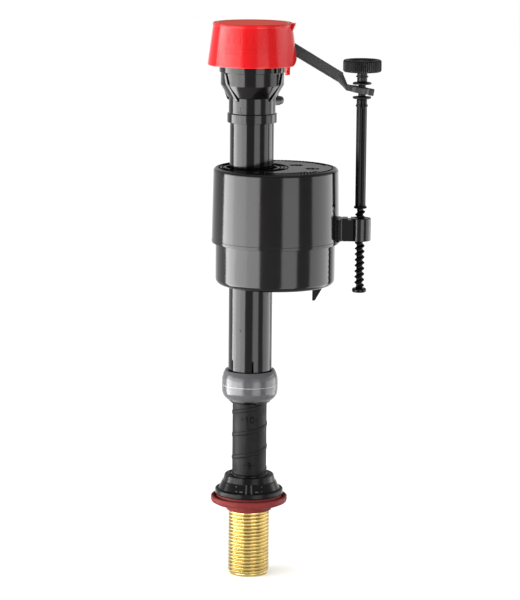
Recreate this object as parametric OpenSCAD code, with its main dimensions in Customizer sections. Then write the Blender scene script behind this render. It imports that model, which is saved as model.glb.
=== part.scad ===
// Toilet fill valve: brass-shank, float-cup type, millimetres.
// Origin on the shank axis at the underside of the tank washer, +Z up, rod on the +X side.

/* [Shank and tank washer] */
// Outer radius of the half-inch pipe thread on the brass shank
thread_r = 10.4775; // [10.3:0.0001:10.6]
// Lowest point of the brass shank, below the tank floor
shank_bottom = -37.2; // [-50:0.1:-30]
// Thread pitch, 14 turns to the inch
thread_pitch = 1.814; // [1.6:0.001:2]
// Outer radius of the tank washer
washer_r = 19.5; // [19:0.1:21]
// Outer radius of the black shank tube
shank_tube_r = 8.73; // [8.6:0.01:8.85]
// Top end of the shank tube, inside the riser
shank_tube_top = 170; // [150:1:175]

/* [Riser and head] */
// Outer radius of the riser tube
riser_r = 11.1; // [11:0.05:11.2]
// Lower end of the riser tube
riser_bottom = 53; // [48:1:56]
// Height of the head's rim, which the cap closes
head_top = 227.2; // [227:0.1:227.3]
// Largest radius of the lock ring
lock_ring_r = 14.3; // [13:0.1:16]

/* [Cap and cover] */
// Underside of the red cover
cover_bottom = 224.9; // [224:0.1:225]
// Top of the red cover
cover_top = 246.1; // [245:0.1:250]
// Radius of the cover at its lower edge
cover_r_low = 22.5; // [21.8:0.1:23]
// Radius of the cover at its top edge
cover_r_high = 19.7; // [19.6:0.1:20.5]

/* [Float] */
// Distance of the float's own axis from the riser axis
float_x = 12.25; // [12:0.05:12.5]
// Float radius at the top edge
float_r_top = 31.5; // [31.2:0.1:32]
// Float radius just above the step
float_r_low = 32.3; // [32:0.1:33]
// Radius of the lower float cup
base_r = 30.2; // [30:0.1:30.3]
// Top, step and bottom heights of the float
float_top = 173.3; // [172:0.1:175]
float_step = 135.3; // [134:0.1:136]
float_bottom = 114; // [113.5:0.1:114.5]

/* [Lever and rod] */
// Distance of the adjusting rod from the riser axis
rod_x = 55; // [54.8:0.1:55.2]
// Radius of the rod's plain upper part
rod_r = 2.65; // [2.5:0.05:2.7]
// Pitch of the rod's level thread
rod_pitch = 2.9; // [2.7:0.1:3.1]
// Radius of the knurled knob
knob_r = 9.66; // [8:0.01:11]
// Lever pivot, distance from the riser axis and height
pivot_x = 12; // [11.9:0.1:12.1]
pivot_z = 235.5; // [235.4:0.1:235.6]

/* [Hidden] */

$fn = 96;

// colours
black = [0.07, 0.07, 0.075];
red = [0.86, 0.08, 0.1];
maroon = [0.45, 0.16, 0.16];
grey = [0.62, 0.63, 0.64];
brass = [0.85, 0.68, 0.25];
rubber = [0.12, 0.12, 0.12];
white = [0.9, 0.9, 0.88];
steel = [0.75, 0.76, 0.78];

// shank
thread_depth = 1.162;
thread_crest = 0.3;
thread_top = -3.4;
supply_bore_r = 6.5;
brass_bore_r = 6;
strainer_r = 6.25;
strainer_low = -18;
strainer_seat = -16.5;
strainer_top = -2;
neck_r = 10.2;
collar_top = 4;
spigot_r = 7.6;
spigot_top = 14;
groove_r = 6.7;
groove_low = 9;
groove_high = 10.6;
washer_groove = 2.4;
washer_pad = 4.8;
washer_rim = 4;
tube_bore_r = 6.5;

// riser, lock ring and feed tube
riser_bore_r = 9.5;
riser_top = 209;
slit_count = 6;
slit_w = 1;
slit_top = 75.5;
ring_low = 54.6;
ring_high = 69.5;
ring_bore_r = 11.25;
ring_end_r = 12;
ring_mouth_r = 12.6;
feed_r = 5.5;
feed_bore_r = 4.3;
feed_low = 46;
seal_low = 46.6;
seal_high = 49.6;
seal_neck_r = 4.9;
seal_r = 6.45;
hub_low = 212;
hub_high = 217;
hub_r = 7;
feed_top = 219;
seat_top = 221.7;
nozzle_angle = 48;
nozzle_z = 205.6;
nozzle_r = 2.5;
nozzle_bore_r = 1.4;
nozzle_root = 13;
nozzle_collar_r = 2.9;
nozzle_end = 20.6;
sleeve_r = 11.75;

// cap
ledge_z = 223;
head_bore_r = 14.3;
plug_r = 14;
plug_low = 224.6;
plate_low = 227.5;
plate_high = 229.3;
skirt_r = 18.9;
skirt_bore_r = 17.9;
skirt_low = 225;
lug_count = 3;
lug_span = 40;
boss_x = -3.5;
boss_top = 232;
ear_w = 2;
lever_y = 3;
cover_wall = 1.5;

// lever
arm_w = 3;
arm_h = 5.6;
arm_slope = 30.5;
arm_start = [21, 232.6];
arm_end_x = 44.3;
eye_z = 212.6;
eye_tilt = 10;
eye_h = 3;
eye_r = 4.2;
eye_slot_r = 2.4;
eye_slot = 2.3;
pin_r = 1.2;

// bobbin, rod and clamp
bobbin_high = 216.6;
bobbin_low = 208.4;
flange_t = 1;
rod_core_r = 1.2;
rod_thread_root = 1.55;
rod_thread_crest = 2.58;
rod_thread_low = 112;
rod_thread_high = 152;
rod_low = 110;
clamp_low = 136.4;
clamp_high = 148;
clamp_start = 46;
clamp_r = 5.5;
guide_r = 12;
guide_wall = 1.6;
float_wall = 1.8;

running = 0.05;

// ---- helpers ----

// Solid of revolution about Z from (radius, height) points
module turned(points) {
    rotate_extrude() polygon(points);
}

// Straight ring or disc between two heights
module ring(r_out, r_in, low, high) {
    translate([0, 0, low]) difference() {
        cylinder(r = r_out, h = high - low);
        if (r_in > 0) translate([0, 0, -1]) cylinder(r = r_in, h = high - low + 2);
    }
}

// Ring sector centred on an angle, used for the bayonet lugs
module sector(r_out, r_in, low, high, angle, span) {
    intersection() {
        ring(r_out, r_in, low, high);
        rotate([0, 0, angle - span / 2]) translate([0, 0, low])
            linear_extrude(high - low)
                polygon([
                    [0, 0],
                    [2 * r_out, 0],
                    [2 * r_out * cos(span / 2), 2 * r_out * sin(span / 2)],
                    [2 * r_out * cos(span), 2 * r_out * sin(span)]
                ]);
    }
}

// Outline drawn in the X-Z plane, extruded along Y about a middle plane
module side_plate(points, y_mid, width) {
    translate([0, y_mid + width / 2, 0]) rotate([90, 0, 0])
        linear_extrude(width) polygon(points);
}

// Points of a quarter round from a start angle, in (radius, height)
function corner(centre, r, a0, a1, steps = 5) =
    [for (i = [0:steps]) let (a = a0 + (a1 - a0) * i / steps)
        [centre[0] + r * cos(a), centre[1] + r * sin(a)]];

// Ring-grooved thread profile, crest and root points from low to high
function thread_points(low, high, pitch, crest_r, root_r, crest) =
    let (turns = floor((high - low) / pitch))
    [for (i = [0:turns - 1]) for (p = [
        [root_r, low + pitch * i],
        [crest_r, low + pitch * (i + 0.5) - crest / 2],
        [crest_r, low + pitch * (i + 0.5) + crest / 2]
    ]) p];

// Height of the lever plate's centre line at a distance from the riser
function arm_z(x) = arm_start[1] - (x - arm_start[0]) * tan(arm_slope);

// ---- shank group ----

// Threaded brass shank with its plain neck, collar and spigot
module brass_shank() {
    color(brass) turned(concat(
        [[supply_bore_r, shank_bottom], [thread_r - thread_depth, shank_bottom]],
        thread_points(shank_bottom + 0.6, thread_top, thread_pitch,
                      thread_r, thread_r - thread_depth, thread_crest),
        [
            [thread_r - thread_depth, thread_top], [neck_r, thread_top],
            [neck_r, collar_top], [spigot_r, collar_top], [spigot_r, groove_low],
            [groove_r, groove_low], [groove_r, groove_high], [spigot_r, groove_high],
            [spigot_r, spigot_top], [brass_bore_r, spigot_top],
            [brass_bore_r, strainer_seat], [strainer_r, strainer_seat],
            [strainer_r, strainer_low], [supply_bore_r, strainer_low]
        ]
    ));
}

// Moulded basket strainer in the inlet
module inlet_strainer() {
    slots = 8;
    color(white) difference() {
        turned([
            [0, strainer_top], [5.4, strainer_top], [5.4, strainer_seat],
            [strainer_r, strainer_seat], [strainer_r, strainer_low],
            [4.6, strainer_low], [4.6, strainer_top - 1.2], [0, strainer_top - 1.2]
        ]);
        for (i = [0:slots - 1]) rotate([0, 0, i * 360 / slots])
            translate([3, -0.5, strainer_seat + 1.5])
                cube([4, 1, strainer_top - strainer_seat - 4]);
    }
}

// Flexible ring that evens out the flow
module flow_washer() {
    color(rubber) turned([
        [2.2, 5.4], [brass_bore_r, 5.4], [brass_bore_r, 3], [3.4, 3], [2.2, 4.2]
    ]);
}

// O-ring between brass spigot and shank tube
module shank_o_ring() {
    r = (spigot_r - groove_r) / 2;
    color(rubber) rotate_extrude()
        translate([groove_r + r, (groove_low + groove_high) / 2]) circle(r = r, $fn = 24);
}

// Long black tube on which the riser climbs
module shank_tube() {
    color(black) turned([
        [spigot_r, collar_top], [shank_tube_r, collar_top],
        [shank_tube_r, shank_tube_top - 1], [shank_tube_r - 0.6, shank_tube_top],
        [tube_bore_r + 0.4, shank_tube_top], [tube_bore_r, shank_tube_top - 0.8],
        [tube_bore_r, spigot_top], [spigot_r, spigot_top]
    ]);
}

// Bell-shaped foot that clamps the washer
module base_flange() {
    rib_angles = [-95, -85, 85, 95];
    color(black) union() {
        turned([
            [neck_r, washer_pad], [16.6, washer_pad], [17.3, 5.1], [17.4, 5.5],
            [17.4, 7.4], [17.1, 7.8], [15.6, 7.9], [13.3, 12.1], [12, 14.7],
            [11.5, 15.1], [10.7, 15.1], [10.2, 14.3], [9.7, 14.3], [9.5, 15.4],
            [shank_tube_r, 15.8], [shank_tube_r, collar_top], [neck_r, collar_top]
        ]);
        for (a = rib_angles) rotate([0, 0, a])
            side_plate([[13.6, 7.8], [16.4, 7.8], [15.6, 9.2], [14, 11.8], [12.8, 11.8]], 0, 0.7);
    }
}

// Cupped rubber washer that seals against the tank floor
module tank_washer() {
    color(maroon) turned([
        [neck_r, thread_top], [11.6, thread_top], [11.9, -0.4], [12.3, 0], [17.6, 0],
        [washer_r - 0.4, 1], [washer_r, 1.8], [washer_r, washer_rim - 0.6],
        [washer_r - 0.5, washer_rim], [washer_r - 1.3, washer_rim],
        [washer_r - 1.9, washer_groove], [16.9, washer_groove], [16.5, washer_pad],
        [neck_r, washer_pad]
    ]);
}

// ---- riser group ----

// Barrel-shaped ring that holds the riser's collet fingers closed
module lock_ring() {
    middle = (ring_low + ring_high) / 2;
    half = (ring_high - ring_low) / 2;
    steps = 16;
    outline = [for (i = [0:steps])
        let (s = -1 + 2 * i / steps, end = s < 0 ? ring_end_r : ring_mouth_r)
        [lock_ring_r - (lock_ring_r - end) * pow(abs(s), 3), middle + half * s]];
    mouth = [[ring_mouth_r - 0.4, ring_high], [ring_bore_r, ring_high - 1.3]];
    color(grey) turned(concat([[ring_bore_r, ring_low]], outline, mouth));
}

// Upper tube with collet fingers at its lower end
module riser_tube() {
    color(black) difference() {
        turned([
            [riser_bore_r - 0.35, riser_bottom + 0.8], [riser_bore_r - 0.1, riser_bottom],
            [riser_r - 0.8, riser_bottom], [riser_r, riser_bottom + 1], [riser_r, riser_top],
            [riser_bore_r, riser_top], [riser_bore_r, riser_bottom + 4],
            [riser_bore_r - 0.35, riser_bottom + 3]
        ]);
        for (i = [0:slit_count - 1]) rotate([0, 0, -83 + i * 360 / slit_count])
            translate([riser_bore_r - 2, -slit_w / 2, riser_bottom - 1])
                cube([4, slit_w, slit_top - riser_bottom + 1]);
        rotate([0, 0, nozzle_angle]) translate([0, 0, nozzle_z]) rotate([0, 90, 0])
            cylinder(r = nozzle_bore_r, h = 20);
    }
}

// Valve head: collar, sleeve, flared chamber and bayonet rim
module valve_head() {
    gusset_angles = [-148, -28, 32, 152];
    spokes = 4;
    color(black) difference() {
        union() {
            turned([
                [12.5, 196.1], [12.5, 200.7], [sleeve_r, 200.7], [sleeve_r, 208.6],
                [15.9, 215.1], [15.9, 221.4], [16.6, 221.4], [16.6, head_top],
                [head_bore_r, head_top], [head_bore_r, ledge_z], [12, ledge_z], [12, 216],
                [riser_bore_r, 210.5], [riser_bore_r, riser_top], [riser_r, riser_top],
                [riser_r, 196.1]
            ]);
            for (i = [0:lug_count - 1])
                sector(17.6, 16.5, head_top - 1, head_top, i * 120 + 60, lug_span);
            for (a = gusset_angles) rotate([0, 0, a]) side_plate([
                [16.6, 221.5], [16.6, 216.2], [12.4, 207], [11.6, 207], [11.6, 209],
                [15.5, 215.2], [15.5, 221.5]
            ], 0, 1.3);
            ring(hub_r, feed_r, hub_low, hub_high);
            for (i = [0:spokes - 1]) rotate([0, 0, 45 + i * 90])
                translate([hub_r - 0.4, -0.7, hub_low]) cube([5.6, 1.4, hub_high - hub_low]);
        }
        rotate([0, 0, nozzle_angle]) translate([9, 0, nozzle_z]) rotate([0, 90, 0])
            cylinder(r = nozzle_bore_r, h = 8);
    }
}

// Stub for the refill hose, with a root collar and a rounded tip
module refill_nozzle() {
    color(black) rotate([0, 0, nozzle_angle]) difference() {
        translate([0, 0, nozzle_z]) rotate([0, 90, 0]) turned([
            [nozzle_bore_r, 9.5], [nozzle_collar_r, 9.5], [nozzle_collar_r, nozzle_root],
            [nozzle_r, nozzle_root], [nozzle_r, nozzle_end - 0.7],
            [nozzle_r - 0.5, nozzle_end], [nozzle_bore_r, nozzle_end]
        ]);
        translate([0, 0, nozzle_z - 6]) cylinder(r = sleeve_r, h = 12);
    }
}

// Inner tube that carries supply water to the seat
module feed_tube() {
    color(white) turned([
        [feed_bore_r, feed_low], [feed_r, feed_low], [feed_r, seal_low],
        [seal_neck_r, seal_low], [seal_neck_r, seal_high], [feed_r, seal_high],
        [feed_r, hub_high], [hub_r - 0.2, hub_high], [hub_r - 0.2, hub_high + 1.2],
        [feed_r, hub_high + 1.2], [feed_r, feed_top], [feed_bore_r, feed_top]
    ]);
}

// Sliding cup seal at the foot of the feed tube
module feed_seal() {
    color(rubber) turned([
        [seal_neck_r, seal_low], [5.2, seal_low], [5.7, seal_low + 1.6],
        [6.2, seal_low], [seal_r, seal_low], [seal_r, seal_low + 0.8],
        [seal_r - 0.2, seal_high], [seal_neck_r, seal_high]
    ]);
}

// Raised seat that the diaphragm closes
module valve_seat() {
    color(white) turned([
        [3.4, feed_top], [feed_r, feed_top], [feed_r, 220], [4.6, seat_top - 0.3],
        [4.2, seat_top], [3.8, seat_top], [3.4, seat_top - 0.4]
    ]);
}

// ---- cap group ----

// Black cap with bayonet skirt, pilot boss and the lever's two ears
module valve_cap() {
    pilot_r = 0.5;
    color(black) difference() {
        union() {
            ring(skirt_r, 0, plate_low, plate_high);
            ring(skirt_r, skirt_bore_r, skirt_low, plate_low);
            ring(plug_r, 12.8, plug_low, plate_low);
            for (i = [0:lug_count - 1])
                sector(18.2, 16.9, skirt_low, skirt_low + 0.9, i * 120 + 60, lug_span);
            translate([boss_x, 0, plate_high]) cylinder(r1 = 2.4, r2 = 1.4, h = boss_top - plate_high);
            for (side = [-1, 1])
                side_plate([
                    [pivot_x - 3.4, plate_high - 0.5], [pivot_x + 3.4, plate_high - 0.5],
                    [pivot_x + 2.2, pivot_z + 1.2], [pivot_x + 1.2, pivot_z + 2.4],
                    [pivot_x - 1.2, pivot_z + 2.4], [pivot_x - 2.2, pivot_z + 1.2]
                ], lever_y + side * (arm_w / 2 + 0.5 + ear_w / 2), ear_w);
        }
        translate([boss_x, 0, plate_low - 1]) cylinder(r = pilot_r, h = 10, $fn = 24);
        translate([pivot_x, lever_y + 8, pivot_z]) rotate([90, 0, 0]) cylinder(r = pin_r, h = 16);
    }
}

// Radius of the cover's outside at a height
function cover_r(z) =
    cover_r_low + (cover_r_high - cover_r_low) * (z - cover_bottom) / (cover_top - cover_bottom);

// Red push-on cover with a slot for the lever and a hanging tab
module cap_cover() {
    rib_angles = [100, 180, 260];
    tab_angle = -35.5;
    slot_high = 238.6;
    slot_low = 229.4;
    slot_gap = 0.6;
    y_front = lever_y - arm_w / 2 - slot_gap;
    y_back = lever_y + arm_w / 2 + slot_gap;
    color(red) union() {
        difference() {
            turned(concat(
                [
                    [cover_r(cover_bottom) - cover_wall, cover_bottom],
                    [cover_r_low - 0.5, cover_bottom], [cover_r_low, cover_bottom + 0.8]
                ],
                [[cover_r_high + 0.05, cover_top - 0.5], [cover_r_high - 0.6, cover_top]],
                [
                    [0, cover_top], [0, cover_top - cover_wall],
                    [cover_r_high - cover_wall - 0.5, cover_top - cover_wall],
                    [cover_r_high - cover_wall, cover_top - cover_wall - 0.5]
                ]
            ));
            translate([10, 0, 0]) rotate([90, 0, 90]) linear_extrude(20) polygon([
                [y_front, slot_high], [y_back, slot_high], [y_back, slot_low],
                [14.5, cover_bottom - 1], [-12.4, cover_bottom - 1], [y_front, slot_low]
            ]);
        }
        for (a = rib_angles) rotate([0, 0, a]) side_plate([
            [15, plate_high], [cover_r(plate_high) - 1, plate_high],
            [cover_r_high - 1, cover_top - 1], [15, cover_top - 1]
        ], 0, 1.5);
        rotate([0, 0, tab_angle]) side_plate([
            [cover_r_low - 1.6, 221], [cover_r_low - 0.6, 221],
            [cover_r_low - 0.4, cover_bottom + 1.6], [cover_r_low - 1.3, cover_bottom + 1.6]
        ], 0, 2.6);
    }
}

// Rubber diaphragm, clamped at its rim
module diaphragm() {
    color(rubber) turned([
        [0.9, 222.9], [6, 222.9], [6.4, 223.5], [12, 223.5], [12, ledge_z],
        [13.9, ledge_z], [13.9, plug_low], [12.4, plug_low], [12, 224.2], [6.4, 224.2],
        [6, 224.6], [0.9, 224.6]
    ]);
}

// Steel pin that keeps the diaphragm's centre hole clear
module metering_pin() {
    color(steel) ring(0.5, 0, 219.5, plate_low);
}

// Hinge pin of the lever
module lever_pin() {
    half = arm_w / 2 + 0.5 + ear_w;
    color(steel) translate([pivot_x, lever_y + half, pivot_z]) rotate([90, 0, 0])
        cylinder(r = pin_r, h = 2 * half);
}

// Stiff plate on top of the diaphragm
module diaphragm_plate() {
    color(white) turned([
        [0.85, 224.6], [5.2, 224.6], [5.2, 225.6], [2.2, 225.6], [1.8, 226.2], [0.85, 226.2]
    ]);
}

// ---- lever ----

// Lever plate, pivot hub, inner arm and the slotted eye for the rod
module lever_arm() {
    half_h = arm_h / 2 / cos(arm_slope);
    color(black) difference() {
        union() {
            side_plate([
                [pivot_x - 1, pivot_z + 2.5], [pivot_x + 2, arm_z(pivot_x + 2) + half_h],
                [arm_end_x + 1.4, arm_z(arm_end_x + 1.4) + half_h - 0.4],
                [arm_end_x, arm_z(arm_end_x) - half_h],
                [pivot_x + 5, arm_z(pivot_x + 5) - half_h], [pivot_x, pivot_z - 2]
            ], lever_y, arm_w);
            translate([pivot_x, lever_y + arm_w / 2 + 0.2, pivot_z]) rotate([90, 0, 0])
                cylinder(r = 2.8, h = arm_w + 0.4);
            translate([-6, -2, pivot_z]) cube([13.5, lever_y + arm_w / 2 + 2, 2]);
            translate([7, lever_y - arm_w / 2, pivot_z]) cube([5, arm_w, 2]);
            // leg that steps down and forward from the plate to the eye
            hull() {
                side_plate([
                    [arm_end_x - 2, arm_z(arm_end_x - 2) - half_h + 0.4],
                    [arm_end_x - 1, arm_z(arm_end_x - 1) + 1], [arm_end_x + 1.4, 219.5],
                    [arm_end_x + 0.8, 216.8]
                ], lever_y - 0.3, arm_w - 0.6);
                translate([46.9, 0.8, 213.9]) rotate([90, 0, 0])
                    cylinder(r = 1.1, h = 3, center = true, $fn = 24);
            }
            eye_shape();
        }
        translate([pivot_x, 10, pivot_z]) rotate([90, 0, 0])
            cylinder(r = pin_r + running, h = 20);
        eye_place() translate([0, 0, -4]) linear_extrude(8) slot_outline(eye_slot_r, 0.1);
    }
}

// Frame of the eye: tilted, centred on the rod
module eye_place() {
    translate([rod_x, 0, eye_z]) rotate([0, eye_tilt, 0]) children();
}

// Round-ended outline that runs back towards the pivot
module slot_outline(r, ahead) {
    translate([ahead, 0]) circle(r = r);
    translate([-eye_slot, 0]) circle(r = r);
    translate([-eye_slot, -r]) square([eye_slot + ahead, 2 * r]);
}

// Eye with its square end tab
module eye_shape() {
    eye_place() union() {
        translate([0, 0, -eye_h / 2]) linear_extrude(eye_h) {
            slot_outline(eye_r, 0);
            translate([-eye_slot - eye_r - 1.6, -1.5]) square([3, 3.6]);
        }
        translate([eye_r - 1, -1.5, -1.8]) cube([2.9, 3, 3.4]);
    }
}

// Soft pad that closes the pilot boss
module pilot_pad() {
    color(rubber) translate([boss_x, 0, pivot_z - 1.6]) cylinder(r = 1.6, h = 1.6);
}

// ---- rod group ----

// Two-flanged bobbin in which the rod turns, held by the lever's eye
module rod_bobbin() {
    neck = 1.9;
    color(black) translate([rod_x, 0, 0]) turned([
        [rod_core_r + running, bobbin_low], [4.3, bobbin_low], [4.7, bobbin_low + 0.4],
        [4.7, bobbin_low + flange_t], [neck, bobbin_low + flange_t],
        [neck, bobbin_high - flange_t], [4.77, bobbin_high - flange_t],
        [4.77, bobbin_high - 0.4], [4.4, bobbin_high], [rod_core_r + running, bobbin_high]
    ]);
}

// Knurled thumb wheel on its hub
module adjusting_knob() {
    hub_low = bobbin_high + 0.2;
    color(black) translate([rod_x, 0, 0]) turned(concat(
        [
            [rod_core_r, hub_low], [2.56, hub_low], [2.56, 219.1], [3.1, 219.3],
            [3.1, 219.8], [2.56, 220], [2.56, 221.8]
        ],
        corner([knob_r - 1, 222.8], 1, -90, 0),
        corner([knob_r - 1, 227], 1, 0, 90),
        [
            [knob_r - 1.6, 228], [knob_r - 2.2, 226.8], [0, 226.8], [0, 226],
            [rod_core_r, 226]
        ]
    ));
}

// Rod with a plain upper part, two rings, a level thread and an end stop
module adjusting_rod() {
    color(black) translate([rod_x, 0, 0]) turned(concat(
        [[0, rod_low], [3.3, rod_low], [3.65, rod_low + 0.4], [3.65, rod_thread_low - 0.5],
         [3.3, rod_thread_low], [rod_thread_root, rod_thread_low]],
        thread_points(rod_thread_low, rod_thread_high, rod_pitch,
                      rod_thread_crest, rod_thread_root, 0.6),
        [
            [rod_thread_root, rod_thread_high + 0.6], [3.1, rod_thread_high + 0.9],
            [3.4, rod_thread_high + 1.3], [3.1, rod_thread_high + 2],
            [rod_r, rod_thread_high + 2.2], [rod_r, 204.2], [3.05, 204.5], [3.05, 205.3],
            [rod_r, 205.6], [rod_r, bobbin_low - 0.6], [rod_r - 0.4, bobbin_low - 0.2],
            [rod_core_r, bobbin_low - 0.2], [rod_core_r, 226], [0, 226]
        ]
    ));
}

// ---- float group ----

// Upper float shell with its guide tube, gauge recesses and bracket stub
module float_shell() {
    recesses = [[22.5, 8], [30.5, -5]];
    inner_top = float_top - 2;
    stub_start = float_x + base_r + 0.8;
    color(black) difference() {
        union() {
            translate([float_x, 0, 0]) turned(concat(
                [[base_r, float_step], [float_r_low - 0.4, float_step],
                 [float_r_low, float_step + 0.4]],
                corner([float_r_top - 1.6, float_top - 1.6], 1.6, 0, 90),
                [
                    [0, float_top], [0, inner_top], [float_r_top - 2.6, inner_top],
                    [float_r_top - float_wall, inner_top - 0.8], [base_r, 141]
                ]
            ));
            ring(guide_r + guide_wall, guide_r, float_bottom, float_top);
            translate([stub_start, -4.2, clamp_low])
                cube([clamp_start - stub_start, 8.4, clamp_high - clamp_low]);
            translate([float_x, 0, 0]) sector(float_r_low + 1, float_r_low - 1.2,
                clamp_low, clamp_high, -2, 26);
        }
        ring(guide_r, 0, float_bottom - 1, float_top + 1);
        ring(13, 0, float_top - 1.6, float_top + 1);
        for (p = recesses) translate([p[0], p[1], float_top - 1.2]) cylinder(r = 3, h = 2);
    }
}

// Lower float cup with the fin underneath
module float_base() {
    fin_x = 31.2;
    fin_low = 105.75;
    color(black) union() {
        difference() {
            translate([float_x, 0, 0]) turned(concat(
                [[0, float_bottom]],
                corner([base_r - 3, float_bottom + 3], 3, -90, 0),
                [
                    [base_r, 141], [base_r - float_wall, 141],
                    [base_r - float_wall, float_bottom + 3], [base_r - 3, float_bottom + 2],
                    [0, float_bottom + 2]
                ]
            ));
            ring(guide_r + guide_wall, 0, float_bottom - 1, float_bottom + 4);
        }
        side_plate([
            [fin_x, float_bottom + 0.5], [fin_x, fin_low], [fin_x + 1.4, fin_low],
            [fin_x + 6, float_bottom - 0.2], [fin_x + 6, float_bottom + 0.5]
        ], -2, 2);
    }
}

// Clamp block that rides on the rod's thread
module rod_clamp() {
    arm_half = 4.2;
    color(black) difference() {
        union() {
            translate([clamp_start, -arm_half, clamp_low])
                cube([rod_x - clamp_start, 2 * arm_half, clamp_high - clamp_low]);
            translate([rod_x, 0, clamp_low]) cylinder(r = clamp_r, h = clamp_high - clamp_low);
        }
        translate([rod_x, 0, clamp_low - 1])
            cylinder(r = rod_thread_crest + 0.32, h = clamp_high - clamp_low + 2);
        translate([rod_x - 6.2, -arm_half - 2, clamp_high - 0.7]) cube([1.6, 2 * arm_half + 4, 2]);
    }
}

brass_shank();
inlet_strainer();
flow_washer();
shank_o_ring();
shank_tube();
base_flange();
tank_washer();
lock_ring();
riser_tube();
valve_head();
refill_nozzle();
feed_tube();
feed_seal();
valve_seat();
valve_cap();
cap_cover();
diaphragm();
metering_pin();
lever_pin();
diaphragm_plate();
lever_arm();
pilot_pad();
rod_bobbin();
adjusting_knob();
adjusting_rod();
float_shell();
float_base();
rod_clamp();
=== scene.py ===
from math import asin, ceil, cos, degrees, dist, hypot, pi, radians, sin, tan

import bmesh
import bpy
from mathutils import Matrix, Vector


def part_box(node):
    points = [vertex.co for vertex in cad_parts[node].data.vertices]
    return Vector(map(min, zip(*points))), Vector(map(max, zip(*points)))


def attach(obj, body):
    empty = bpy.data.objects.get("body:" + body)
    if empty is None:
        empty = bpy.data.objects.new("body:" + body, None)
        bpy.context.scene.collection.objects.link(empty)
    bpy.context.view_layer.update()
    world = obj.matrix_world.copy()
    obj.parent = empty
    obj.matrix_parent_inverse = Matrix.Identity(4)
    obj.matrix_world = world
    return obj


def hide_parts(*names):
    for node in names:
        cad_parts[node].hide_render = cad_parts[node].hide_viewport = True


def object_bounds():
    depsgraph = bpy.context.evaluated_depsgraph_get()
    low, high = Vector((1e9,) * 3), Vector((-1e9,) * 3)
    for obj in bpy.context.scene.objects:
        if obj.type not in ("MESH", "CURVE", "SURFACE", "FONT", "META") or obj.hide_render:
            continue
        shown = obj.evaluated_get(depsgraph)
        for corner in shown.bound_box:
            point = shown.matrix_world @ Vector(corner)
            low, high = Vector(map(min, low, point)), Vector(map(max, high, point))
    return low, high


MM = 0.001
TURN = 2 * pi
TINY = 1e-6
STRAIGHT = radians(3.0)
FRONT = -90.0

# sides and steps of round shapes, spacing of points on a mark, and angles that count as sharp
COARSE = 24
SMALL = 48
ROD_SIDES = 64
MEDIUM = 96
FINE = 128
FINEST = 160
CORNER_STEPS = 4
ARC_STEPS = 16
LONG_ARC_STEPS = 28
RIB_STEPS = 8
SWEEP_SIDES = 6
FINER_STEP = 0.4
SHARP = 32.0
THREAD_SHARP = 62.0
BEVEL_FROM = 40.0

# the two commonest slots
GLOSS = "gloss_black_plastic"
SATIN = "satin_black_plastic"

# shank; sizes from here to the picture are in millimetres, and angles in degrees
THREAD_PITCH = 1.814
THREAD_DEPTH = 0.7
THREAD_CREST = 0.42
SUPPLY_BORE = 6.5
BRASS_BORE = 6.0
STRAINER_BORE = 6.25
STRAINER_LOW = -18.0
STRAINER_SEAT = -16.5
BRASS_NECK = 10.2
BRASS_COLLAR_TOP = 4.0
BRASS_SPIGOT = 7.6
TUBE_R = 8.73
TUBE_BORE = 6.5
RIB_PITCH = 11.75
RIB_WIDTH = 2.3
RIB_HEIGHT = 0.3
RIB_CROSSES_LEFT_AT = 23.75
SCALE_FIRST = 19.25
SCALE_STEP = 23.9
SCALE_COUNT = 6
SCALE_START = 9
DIGIT_HEIGHT = 3.2
DIGIT_WIDTH = 1.9
DIGIT_GAP = 0.9
STROKE_R = 0.24
DIGITS = {
    "0": [(0.5, 1), (0.1, 0.85), (0, 0.5), (0.1, 0.15), (0.5, 0), (0.9, 0.15), (1, 0.5),
          (0.9, 0.85), (0.5, 1)],
    "1": [(0.2, 0.75), (0.6, 1), (0.6, 0)],
    "2": [(0, 0.8), (0.3, 1), (0.75, 1), (0.95, 0.75), (0.8, 0.5), (0, 0), (1, 0)],
    "3": [(0, 0.85), (0.4, 1), (0.9, 0.8), (0.45, 0.53), (0.95, 0.25), (0.5, 0), (0, 0.12)],
    "4": [(0.75, 0), (0.75, 1), (0, 0.3), (1, 0.3)],
    "9": [(0.95, 0.65), (0.5, 0.45), (0.05, 0.7), (0.4, 1), (0.85, 0.9), (0.95, 0.6),
          (0.75, 0.1), (0.3, 0)],
}
FLANGE_HEIGHT = 8.0
FLANGE_LEAN = 0.43
FLANGE_RIB_WIDTH = 0.8
FLANGE_MARK_R = 0.28
# marks on the wall: distance each side of the middle, height, length
FLANGE_MARKS = ((6.6, 0.3, 0.6), (6.6, 2.6, 0.6), (4.0, 0.3, 1.7))
WASHER_RIM = 4.0
WASHER_GROOVE = 2.4

# riser and head
RISER_R = 11.1
RISER_BORE = 9.5
RISER_LIP = 9.15
SLIT_COUNT = 6
SLIT_WIDTH = 1.0
SLIT_DEPTH = 5.0
SLIT_TOP = 75.5
SLIT_FIRST = -83.0
RING_BORE = 11.25
RING_END_R = 12.0
RING_MOUTH_R = 12.6
SLEEVE_R = 11.75
SPOKE_WIDTH = 1.4
HUB_LOW = 15.2
BAND_R = 12.5
GUSSETS = ((-147, 19), (-22, -18), (32, -18), (152, 19))
GUSSET_WIDTH = 1.7
GUSSET_TOP = 5.7
GUSSET_DROP = 14.5
GATE_MARK_ANGLE = -118.0
GATE_MARK_HEIGHT = 91.0
NOZZLE_ANGLE = 48.0
NOZZLE_BORE = 1.4

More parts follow.
